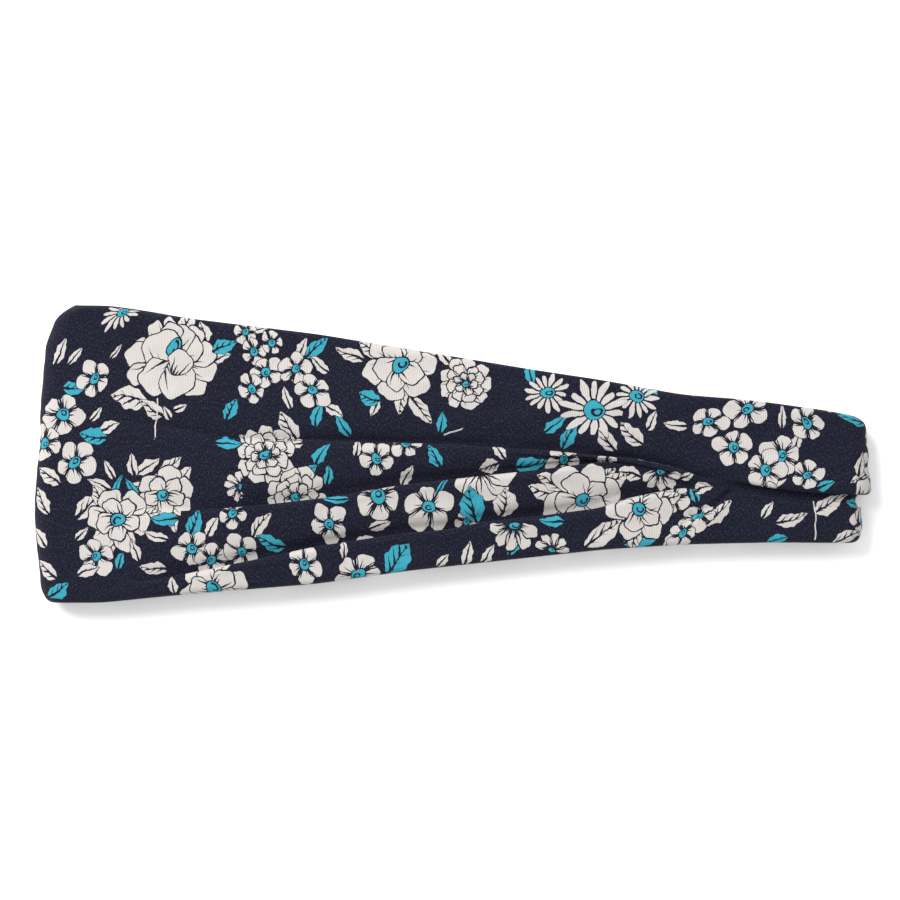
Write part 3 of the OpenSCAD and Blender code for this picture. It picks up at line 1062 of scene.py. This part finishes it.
def petalled(n, c, v, hand, size, line, count, notch, power, disc, strokes):
    """A round flower seen from above: its cover, its drawn lines and its bright middle."""
    r = n.length(c, v)
    turn = n.math("ARCTAN2", v, c) * (count / (2 * math.pi)) + 40.0
    number = n.math("MODULO", turn.floor(), count)
    odd = ((number * 12.9 + hand * 57.0).sine() * 43.7).fract()
    t = turn.fract() * 2.0 - 1.0
    side = abs(t)
    rim = 1.0 - notch * n.math("POWER", side, power)
    tip = n.math("EXPONENT", t * t * -14.0) * (0.13 * (odd - 0.35))
    rim = (rim - tip) * (1.0 - odd * 0.2)
    inside = rim - r
    rim_line = inside * size < line * 0.5
    parting = (1.0 - side) * (r * (math.pi / count)) * size < line * 0.6
    drawn = stroke(t * 0.5, strokes, 0.64 + 0.3 * odd, r, size, r * (2 * math.pi / count), line)
    middle = r < disc
    outside = 1.0 - middle
    ring = (r < disc + line * 0.7 / size) * outside
    mark = n.length(c - 0.25 * disc, v + 0.1 * disc)
    mark = (abs(mark - disc * 0.42) < disc * 0.13) * (v < 0.3 * disc)
    ink = (rim_line | parting | drawn) * outside | (ring | middle * mark)
    return inside > 0.0, ink, middle * (1.0 - mark)


def drawn_leaf(c, v, hand, size, line):
    """A pointed leaf with a wavy edge, a midrib and slanting veins. A small one has them on one side."""
    wave = 0.07 * (c * 11.0 + hand * 40.0).sine()
    bend = (c * c - 0.4) * (0.5 * (hand - 0.45))
    across = v + bend
    side = abs(across)
    half = (1.0 - c * c) * (1.0 - c * 0.28)
    inside = half + wave * half - side
    broad = size > 1.95
    shaded = across > 0.0
    rib = side * size < line * 0.5 * (1.0 - c * 0.9)
    off = abs(((side * 0.75 - c) * 2.2 + 8.0).fract() - 0.5)
    reach = broad * 0.44 + shaded * 0.34
    veins = off < (reach - side) * (0.17 + shaded * 0.13)
    rim = inside * size < line * 0.45
    return inside > 0.0, rib | veins * (abs(c) < 0.8) | rim


def shape_group():
    """One layer of the print: whether a drawn shape covers the cloth here, and with which colour."""
    group, n, given, out = new_group(
        "Print shape",
        [("Place", "NodeSocketVector", None), ("Size", "NodeSocketFloat", 1.0),
         ("Line", "NodeSocketFloat", 0.3)],
        ["Cover", "Pale", "Bright"],
    )
    c, v, kind = n.split(given["Place"])
    size, line = given["Size"], given["Line"]
    hand = kind.fract()
    kind = kind.floor()

    egg_v = v / (1.0 + c * 0.24)
    frill = 0.05 * (n.math("ARCTAN2", v, c) * 5.0 + hand * 30.0).sine()
    egg_in = 1.0 + frill - n.length(c, egg_v)
    fan = v / (c + 2.2)
    pen = stroke(fan * 0.9, 7.0, 0.5 + hand * 0.3, (c + 1.0) * 0.5, size, c + 2.2, line)
    egg = (egg_in > 0.0, (egg_in * size < line * 0.75) | pen)

    disc_in = 1.0 - n.length(c, v)
    mark = abs(n.length(c - 0.2, v) - 0.42) < 0.12
    disc = (disc_in > 0.0, (disc_in * size < line * 0.8) | mark * (v < 0.2))

    leaf = drawn_leaf(c, v, hand, size, line)
    blossom = petalled(n, c, v, hand, size, line, 5, 0.3, 2.4, 0.22, 4.0)
    daisy = petalled(n, c, v, hand, size, line * 0.9, 14, 0.62, 1.9, 0.26, 1.0)
    stem = (abs(v) < 1.0) * (abs(c) < 1.0)

    def is_kind(number):
        return abs(kind - number) < 0.5

    is_petal, is_blossom, is_daisy, is_disc = [is_kind(number) for number in (PETAL, BLOSSOM, DAISY, DISC)]
    is_bright_leaf = is_kind(BRIGHT_LEAF)
    is_leaf = is_kind(PALE_LEAF) | is_bright_leaf
    drawn = [(is_petal, egg), (is_leaf, leaf), (is_blossom, blossom), (is_daisy, daisy)]
    cover = sum(flag * shape[0] for flag, shape in drawn + [(is_kind(STEM), (stem,)), (is_disc, disc)])
    ink = sum(flag * shape[1] for flag, shape in drawn + [(is_disc, disc)])
    bright = sum((is_bright_leaf * 1.0, is_disc * 1.0, is_blossom * blossom[2], is_daisy * daisy[2]))
    clear = cover * (1.0 - ink)
    n.give(out, {"Cover": cover, "Pale": clear * (1.0 - bright), "Bright": clear * bright})
    return group


def print_group(shape):
    """All layers of the print, the topmost first."""
    group, n, given, out = new_group("Flower print", [("Line", "NodeSocketFloat", 0.3)], ["Pale", "Bright"])
    pale, bright, left = 0.0, 0.0, 1.0
    cloth = n.attribute("cloth")["Vector"]
    strays = [(n.noise(n.add_vectors(cloth, (far, far, far)), 0.8, 1.0) - 0.5) * 0.5 for far in (0, 50)]
    for layer in range(LAYERS):
        place = n.attribute(f"print_{layer}")
        size = place["Alpha"]
        share = 1.0 / (size | 0.4)
        stray = n.combine(strays[0] * (share * 0.7), strays[1] * share, 0.0)
        found = n.use(shape, Place=n.add_vectors(place["Vector"], stray), Size=size, Line=given["Line"])
        pale = pale + left * found["Pale"]
        bright = bright + left * found["Bright"]
        left = left * (1.0 - found["Cover"])
    n.give(out, {"Pale": pale, "Bright": bright})
    return group


def knit_group():
    """Jersey: fine ribs across the band made of small stitches, and a heathered unevenness of yarn."""
    group, n, given, out = new_group(
        "Jersey knit",
        [("Rib", "NodeSocketFloat", 0.48), ("Stitch", "NodeSocketFloat", 0.38)],
        ["Height", "Shade", "Fleck"],
    )
    cloth = n.attribute("cloth")["Vector"]
    u, v, _ = n.split(cloth)
    sway = (n.noise(cloth, 0.25, 1.0) - 0.5) * 0.9
    off = abs(((u + sway) / given["Rib"]).fract() - 0.5)
    ridge = n.math("COSINE", off * (2 * math.pi))
    loops = ((v / given["Stitch"] + off * 1.4) * (2 * math.pi)).sine()
    height = ridge * -0.5 + loops * 0.3
    yarn = n.noise(cloth, 2.6, 2.0, 0.7)
    fleck = n.noise(n.combine(u * 1.6, v * 0.7, 0.0), 2.2, 2.0, 0.6)
    n.give(out, {
        "Height": height + yarn * 0.5,
        # Shade is low in the grooves between stitches, and the printed jersey paints its colours darker
        # there as painted shade.
        "Shade": 0.5 + height * 0.4,
        "Fleck": n.math("SMOOTH_MAX", (fleck - 0.52) * 5.0, 0.0, 0.2, clamp=True),
    })
    return group


# ---------------------------------------------------------------- materials


def toned(colour, share, lift=0.0):
    """A colour made lighter or darker, and lifted a little towards grey."""
    return tuple(min(1, share * value + lift) for value in colour[:3]) + (1,)


def new_material(name):
    """An empty material, its builder and its shader."""
    material = bpy.data.materials.new(name)
    material.use_nodes = True
    material.node_tree.nodes.clear()
    n = Nodes(material.node_tree)
    shader = n.node("ShaderNodeBsdfPrincipled")
    n.give(n.node("ShaderNodeOutputMaterial"), {"Surface": Value(n, shader.outputs[0])})
    return material, n, shader


def bump(n, height, distance, strength):
    """The normal of a surface that follows a fine height."""
    return n.value("ShaderNodeBump", {"Strength": strength, "Distance": distance, "Height": height})


def knitted(n, settings, knit):
    return n.use(knit, Rib=settings.rib / MM, Stitch=settings.stitch / MM)


def printed_jersey(settings, print_nodes, knit):
    """Heathered navy under cream and turquoise shapes, which are painted darker between the stitches as
    painted shade.
    """
    _, n, shader = new_material("Printed jersey")
    drawn = n.use(print_nodes, Line=settings.line / MM)
    woven = knitted(n, settings, knit)

    # Painted shade: a print colour made darker where the knit's grooves lie between the stitches.
    def shaded_between_stitches(colour, strength, deep):
        share = n.math("MULTIPLY", 1.0 - woven["Shade"], strength, clamp=True)
        return n.blend_colour(share, tuple(colour), toned(colour, deep))

    ground = n.blend_colour(woven["Fleck"] * 0.8, tuple(settings.navy), toned(settings.navy, 2.6, 0.035))
    colour = n.blend_colour(drawn["Pale"], ground, shaded_between_stitches(settings.cream, 0.75, 0.66))
    n.give(shader, {
        "Base Color": n.blend_colour(drawn["Bright"], colour, shaded_between_stitches(settings.turquoise, 0.8, 0.5)),
        "Roughness": 0.86 + woven["Fleck"] * 0.1,
        "Sheen Weight": 0.03,
        "Sheen Roughness": 0.5,
        "Specular IOR Level": 0.1,
        "Normal": bump(n, woven["Height"], 0.00012, 0.75),
    })


def plain_jersey(settings, knit):
    """The cut edge of the cloth inside the loop, where the print's back shows as plain navy."""
    _, n, shader = new_material("Seam allowance jersey")
    woven = knitted(n, settings, knit)
    ground, worn = toned(settings.navy, 1.3), toned(settings.navy, 4, 0.02)
    n.give(shader, {
        "Base Color": n.blend_colour(woven["Fleck"] * 0.7, ground, worn),
        "Roughness": 0.88 + woven["Fleck"] * 0.08,
        "Sheen Weight": 0.15,
        "Normal": bump(n, woven["Height"], 0.00012, 0.8),
    })


def sewing_thread(settings):
    """Twisted polyester thread."""
    _, n, shader = new_material("Sewing thread")
    u, v, _ = n.split(n.attribute("cloth")["Vector"])
    twist = ((u * 2.2 + v) * (2 * math.pi)).sine()
    lit = n.math("MULTIPLY_ADD", twist, 0.3, 0.4, clamp=True)
    n.give(shader, {
        "Base Color": n.blend_colour(lit, tuple(settings.thread), toned(settings.thread, 2.0)),
        "Roughness": n.math("MULTIPLY_ADD", twist, 0.08, 0.5),
        "Normal": bump(n, twist, 0.00006, 0.6),
    })


def floor_material(colour):
    """A pale floor with a barely uneven tone."""
    material, n, shader = new_material("Plain floor")
    speck = n.noise(n.value("ShaderNodeTexCoord", {}, "Object"), 40.0, 2.0)
    n.give(shader, {
        "Base Color": n.blend_colour(speck, tuple(colour), toned(colour, 0.985)),
        "Roughness": 0.9,
        "Specular IOR Level": 0.1,
    })
    return material


# ---------------------------------------------------------------- meshes


def new_piece(name, places, faces, cloth, material):
    """A piece from places in millimetres, with the place of each vertex on the flat cloth."""
    mesh = bpy.data.meshes.new(name)
    mesh.from_pydata([tuple(place) for place in np.asarray(places) * MM], [], faces)
    mesh.materials.append(material)
    mesh.polygons.foreach_set("use_smooth", np.ones(len(mesh.polygons), bool))
    write_attribute(mesh, "cloth", "FLOAT_VECTOR", "POINT", cloth)
    made = bpy.data.objects.new(name, mesh)
    bpy.context.scene.collection.objects.link(made)
    return made


def write_attribute(mesh, name, kind, domain, values):
    attribute = mesh.attributes.new(name, kind, domain)
    key = "color" if kind == "FLOAT_COLOR" else "vector"
    attribute.data.foreach_set(key, np.asarray(values, np.float32).ravel())


def tube_faces(rings, sides):
    """The faces of a tube made of rings, closed at both ends."""
    faces = []
    for i in range(rings - 1):
        for j in range(sides):
            k = (j + 1) % sides
            faces.append((i * sides + j, i * sides + k, (i + 1) * sides + k, (i + 1) * sides + j))
    faces.append(tuple(reversed(range(sides))))
    faces.append(tuple(range((rings - 1) * sides, rings * sides)))
    return faces


def tube_piece(name, loop, cells, first, last, material):
    """The stretch of the jersey tube between two columns, closed at both ends."""
    columns = slice(first, last + 1)
    rows = loop.places.shape[1]
    u = loop.u[columns]
    cloth = np.stack([u, loop.cross[columns], np.zeros_like(u)], axis=2)
    faces = tube_faces(last - first + 1, rows)
    made = new_piece(name, loop.places[columns].reshape(-1, 3), faces, cloth, material)
    caps = np.zeros((2 * rows, 4), np.float32)
    for layer in range(LAYERS):
        values = np.concatenate([cells[first:last, :, layer].reshape(-1, 4), caps])
        write_attribute(made.data, f"print_{layer}", "FLOAT_COLOR", "CORNER", values)
    normals = loop.normals[columns].reshape(-1, 3)
    made.data.normals_split_custom_set_from_vertices([tuple(normal) for normal in normals])
    return made


def flat_size(loop, first, last):
    """The flat width, length and area of a stretch of the flattened tube, in metres."""
    outer = loop.cross[first:last + 1, loop.outer_rows - 1] * MM
    along = abs(loop.u[last, 0] - loop.u[first, 0]) * MM
    return (float(outer.max()), float(along)), float(outer.mean() * along)


def swept_tube(path, radius, sides=6):
    """Vertices, faces and cloth places of a round thread along a path."""
    path = np.asarray(path, float)
    ahead = np.gradient(path, axis=0)
    ahead /= np.linalg.norm(ahead, axis=1, keepdims=True)
    up = np.array([0.0, 0.0, 1.0])
    side = np.cross(ahead, up)
    side /= np.maximum(np.linalg.norm(side, axis=1, keepdims=True), 1e-9)
    top = np.cross(side, ahead)
    far = np.concatenate([[0], np.cumsum(np.linalg.norm(np.diff(path, axis=0), axis=1))])
    vertices, places = [], []
    for i in range(len(path)):
        for s in range(sides):
            a = 2 * math.pi * s / sides
            vertices.append(path[i] + radius * (math.cos(a) * side[i] + math.sin(a) * top[i]))
            places.append((far[i], 2 * radius * s / sides, 0))
    return vertices, tube_faces(len(path), sides), places


def thread_piece(name, paths, radius, material):
    """Several stitches of one thread as a single piece."""
    vertices, faces, places = [], [], []
    for path in paths:
        v, f, p = swept_tube(path, radius)
        start = len(vertices)
        vertices += v
        places += p
        faces += [tuple(start + i for i in face) for face in f]
    return new_piece(name, vertices, faces, places, material)


def stitch_path(start, end, rise, steps=8):
    """A stitch that leaves the cloth, arches a little and goes back in."""
    start, end = np.asarray(start, float), np.asarray(end, float)
    return [start + (end - start) * i / steps + np.array([0, 0, rise * math.sin(math.pi * i / steps)])
            for i in range(steps + 1)]


def allowance_piece(name, node, outward, material):
    """A seam allowance pressed flat, with a rounded, slightly wavy cut edge."""
    low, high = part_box(node)
    x0, x1 = (low.x / MM, high.x / MM) if outward > 0 else (high.x / MM, low.x / MM)
    y0, y1, z0 = low.y / MM + 0.3, high.y / MM - 0.3, low.z / MM + 0.05
    thick = 0.8
    step = 0.8
    # From the seam to the cut edge: share of the allowance's width, share of its thickness.
    across = [(0.0, 0.0), (0.0, 0.75), (0.06, 1.0), (0.3, 0.95), (0.6, 0.9), (0.9, 0.85), (1.0, 0.5),
              (1.0, 0.0)]
    count = int((y1 - y0) / step)
    vertices, places = [], []
    for i in range(count + 1):
        y = y0 + (y1 - y0) * i / count
        wave = 0.22 * math.sin(y * 1.1) + 0.12 * math.sin(y * 2.7 + 1)
        taper = min(1.0, 0.35 + min(i, count - i) / 3)
        for share, up in across:
            x = x0 + (x1 - x0) * share - (wave * share if share > 0.5 else 0) * outward
            vertices.append((x, y, z0 + thick * up * taper))
            places.append((y, 6 * share + 3 * up, 0))
    rows = len(across)
    faces = []
    for i in range(count):
        for j in range(rows):
            k = (j + 1) % rows
            faces.append((i * rows + j, (i + 1) * rows + j, (i + 1) * rows + k, i * rows + k))
    faces.append(tuple(range(rows)))
    faces.append(tuple(reversed(range(count * rows, (count + 1) * rows))))
    if outward < 0:
        faces = [tuple(reversed(face)) for face in faces]
    made = new_piece(name, vertices, faces, places, material)
    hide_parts(node)
    return made, (x0, x1, y0, y1, z0 + thick)


# ---------------------------------------------------------------- operators


# How far on either side of a bend's axis each bend's line starts and ends, and the radii of the threads.
BEND_REACH = 23
OVERLOCK_R = 0.14
SEAM_THREAD_R = 0.18
TACK_THREAD_R = 0.17


class HEADBAND_OT_materials(bpy.types.Operator):
    """Make the printed jersey, the plain jersey and the thread"""

    bl_idname = "headband.materials"
    bl_label = "Make materials"

    def execute(self, context):
        settings = context.scene.headband_print
        knit = knit_group()
        printed_jersey(settings, print_group(shape_group()), knit)
        plain_jersey(settings, knit)
        sewing_thread(settings)
        return {"FINISHED"}


class HEADBAND_OT_cloth(bpy.types.Operator):
    """Make the printed tube as pieces along the loop"""

    bl_idname = "headband.cloth"
    bl_label = "Make the cloth"

    def execute(self, context):
        loop = Loop(context.scene.headband_cloth)
        cells = printed_cells(loop)
        material = bpy.data.materials["Printed jersey"]
        half_gap = GAP / 2 * MM
        reach = BEND_REACH * MM
        low_z, high_z = (MID_Z - BEND_R) * MM, (MID_Z + BEND_R) * MM
        bend_x, fold_x, mid_z = BEND_X * MM, FOLD_X * MM, MID_Z * MM

        def stretch(name, borders, nodes, follow, *bodies, **line):
            first, last = [loop.borders[border] for border in borders]
            made = tube_piece(name, loop, cells, first, last, material)
            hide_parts(*nodes)
            follow(made, *bodies, **line)
            flat, area = flat_size(loop, first, last)

        plies = ("outer_ply", "inner_ply")
        middle = [f"middle_{part}" for part in plies + ("pleat_a", "pleat_b", "pleat_c")]
        back = [f"back_{part}" for part in plies + ("pleat_a", "pleat_c", "tuck", "flap")]
        stretch(
            "lower_seam_front_cloth", ("seam_start", "lower_middle"), [f"lower_{m}" for m in middle],
            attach, "lower_middle"
        )
        stretch(
            "lower_front_bend_cloth", ("lower_middle", "lower_front"), [f"lower_front_{p}" for p in plies],
            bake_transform, "lower_middle", "lower_front",
            start=(-bend_x + reach, 0, low_z), end=(-bend_x - reach, 0, low_z)
        )
        stretch(
            "front_fold_cloth", ("lower_front", "upper_front"), [f"front_fold_{p}" for p in plies],
            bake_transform, "lower_front", "upper_front",
            start=(-fold_x, 0, mid_z - half_gap), end=(-fold_x, 0, mid_z + half_gap)
        )
        stretch(
            "upper_front_bend_cloth", ("upper_front", "upper_middle"), [f"upper_front_{p}" for p in plies],
            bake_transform, "upper_front", "upper_middle",
            start=(-bend_x - reach, 0, high_z), end=(-bend_x + reach, 0, high_z)
        )
        stretch(
            "upper_back_bend_cloth", ("upper_middle", "upper_back"), [f"upper_{m}" for m in middle],
            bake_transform, "upper_middle", "upper_back",
            start=(bend_x - reach, 0, high_z), end=(bend_x + reach, 0, high_z)
        )
        stretch(
            "back_fold_cloth", ("upper_back", "lower_back"),
            [f"upper_{m}" for m in back] + [f"back_fold_{p}" for p in plies],
            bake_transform, "upper_back", "lower_back",
            start=(fold_x, 0, mid_z + half_gap), end=(fold_x, 0, mid_z - half_gap)
        )
        stretch(
            "lower_seam_back_cloth", ("lower_back", "seam_end"), [f"lower_{m}" for m in back],
            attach, "lower_back"
        )
        return {"FINISHED"}


class HEADBAND_OT_seam(bpy.types.Operator):
    """Make the cross seam's allowances, their overlocked edges and the seam's stitches"""

    bl_idname = "headband.seam"
    bl_label = "Make the cross seam"

    def execute(self, context):
        jersey = bpy.data.materials["Seam allowance jersey"]
        thread = bpy.data.materials["Sewing thread"]
        for node, body, outward in (
            ("seam_allowance_middle", "lower_middle", -1), ("seam_allowance_back", "lower_back", 1)
        ):
            made, edges = allowance_piece(node + "_cloth", node, outward, jersey)
            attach(made, body)
            width, length = abs(edges[1] - edges[0]) * MM, (edges[3] - edges[2]) * MM
            max(width, 0.01)
            overlock = thread_piece(node + "_overlock", self.overlock(edges), OVERLOCK_R, thread)
            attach(overlock, body)
        low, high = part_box("cross_seam_thread")
        paths = self.seam_stitches(low / MM, high / MM)
        stitches = thread_piece("cross_seam_stitches", paths, SEAM_THREAD_R, thread)
        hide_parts("cross_seam_thread")
        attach(stitches, "lower_back")
        return {"FINISHED"}

    def overlock(self, edges):
        """Slanting loops of thread over the allowance's cut edge."""
        x0, x1, y0, y1, top = edges
        toward = math.copysign(1, x1 - x0)
        inner, outer = x1 - 3.0 * toward, x1 - 0.1 * toward
        pitch = 1.5
        paths = []
        for i in range(int((y1 - y0 - 2) / pitch)):
            y = y0 + 1 + pitch * i
            paths.append(stitch_path((inner, y, top - 0.05), (outer, y + 0.5, top - 0.2), 0.12, 5))
            paths.append(stitch_path((inner, y, top - 0.05), (inner, y + 1.35, top - 0.05), 0.1, 4))
        return paths

    def seam_stitches(self, low, high):
        x = (low.x + high.x) / 2
        pitch, long = 2.6, 2.1
        z = low.z + 0.02
        starts = [low.y + pitch * i for i in range(int((high.y - low.y) / pitch))]
        return [stitch_path((x, y, z), (x, y + long, z), 0.22) for y in starts]


class HEADBAND_OT_tacks(bpy.types.Operator):
    """Make the short stitches that hold the pleats where they meet"""

    bl_idname = "headband.tacks"
    bl_label = "Make the pleat tacks"

    def execute(self, context):
        thread = bpy.data.materials["Sewing thread"]
        for side, body in (("upper", "upper_back"), ("lower", "lower_back")):
            node = f"{side}_pleat_tack"
            low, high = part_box(node)
            low, high = low / MM, high / MM
            inward = -1 if side == "upper" else 1
            z = MID_Z - inward * (BEND_R - PLY)
            rise = 0.18 * inward
            rows = [low.y + (high.y - low.y) * share for share in (0.1, 0.37, 0.63, 0.9)]
            paths = [stitch_path((low.x, y, z), (high.x, y + 0.2, z), rise) for y in rows]
            made = thread_piece(f"{side}_tack_stitches", paths, TACK_THREAD_R, thread)
            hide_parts(node)
            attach(made, body)
        return {"FINISHED"}


class HEADBAND_OT_stage(bpy.types.Operator):
    """Make the plain floor, the soft studio light and the camera overhead"""

    bl_idname = "headband.stage"
    bl_label = "Make the stage"

    def execute(self, context):
        settings = context.scene.headband_stage
        self.floor(settings, min(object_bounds()[0].z, 0) - 0.0001)
        self.camera(context, settings)
        self.light("Key", (-0.52, 0.55, 0.68), 0.7, settings.key_power)
        self.light("Fill", (0.5, -0.3, 0.9), 1.2, 0.12 * settings.key_power)
        self.sky(context, settings.sky)
        context.scene.view_settings.view_transform = "Standard"
        return {"FINISHED"}

    def floor(self, settings, z):
        side = 3.0
        mesh = bpy.data.meshes.new("Floor")
        corners = [(-side, -side, z), (side, -side, z), (side, side, z), (-side, side, z)]
        mesh.from_pydata(corners, [], [(0, 1, 2, 3)])
        mesh.materials.append(floor_material(settings.floor))
        floor = bpy.data.objects.new("Floor", mesh)
        bpy.context.scene.collection.objects.link(floor)
        floor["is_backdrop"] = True

    def camera(self, context, settings):
        data = bpy.data.cameras.new("Camera")
        data.lens = data.sensor_width * settings.camera_height / settings.view_width
        camera = bpy.data.objects.new("Camera", data)
        camera.location = (-0.0004, 0.0012, settings.camera_height)
        context.scene.collection.objects.link(camera)
        context.scene.camera = camera

    def light(self, name, place, size, power):
        data = bpy.data.lights.new(name, "AREA")
        data.shape = "DISK"
        data.size = size
        data.energy = power
        lamp = bpy.data.objects.new(name, data)
        lamp.location = place
        lamp.rotation_euler = (-lamp.location).to_track_quat("-Z", "Y").to_euler()
        bpy.context.scene.collection.objects.link(lamp)

    def sky(self, context, strength):
        world = bpy.data.worlds.new("Even light")
        world.use_nodes = True
        background = world.node_tree.nodes["Background"]
        background.inputs["Color"].default_value = (1, 1, 1, 1)
        background.inputs["Strength"].default_value = strength
        context.scene.world = world


class HEADBAND_PT_panel(bpy.types.Panel):
    """Sidebar panel that lists the headband's steps and settings"""

    bl_label = "Headband"
    bl_idname = "HEADBAND_PT_panel"
    bl_space_type = "VIEW_3D"
    bl_region_type = "UI"
    bl_category = "Headband"

    def draw(self, context):
        for group in [getattr(context.scene, name) for name in SETTINGS]:
            box = self.layout.box()
            for name in group.__annotations__:
                box.prop(group, name)
        for operator in OPERATORS:
            self.layout.operator(operator.bl_idname)


OPERATORS = (
    HEADBAND_OT_materials, HEADBAND_OT_cloth, HEADBAND_OT_seam, HEADBAND_OT_tacks, HEADBAND_OT_stage
)
SETTINGS = {
    "headband_cloth": HeadbandCloth, "headband_print": HeadbandPrint, "headband_stage": HeadbandStage
}


def register():
    for settings in SETTINGS.values():
        bpy.utils.register_class(settings)
    for operator in OPERATORS:
        bpy.utils.register_class(operator)
    bpy.utils.register_class(HEADBAND_PT_panel)
    for name, settings in SETTINGS.items():
        setattr(bpy.types.Scene, name, bpy.props.PointerProperty(type=settings))


def unregister():
    for name in SETTINGS:
        delattr(bpy.types.Scene, name)
    bpy.utils.unregister_class(HEADBAND_PT_panel)
    for operator in reversed(OPERATORS):
        bpy.utils.unregister_class(operator)
    for settings in reversed(list(SETTINGS.values())):
        bpy.utils.unregister_class(settings)


def main():
    register()
    bpy.ops.headband.materials()
    bpy.ops.headband.cloth()
    bpy.ops.headband.seam()
    bpy.ops.headband.tacks()
    bpy.ops.headband.stage()


if __name__ == "__main__":
    main()
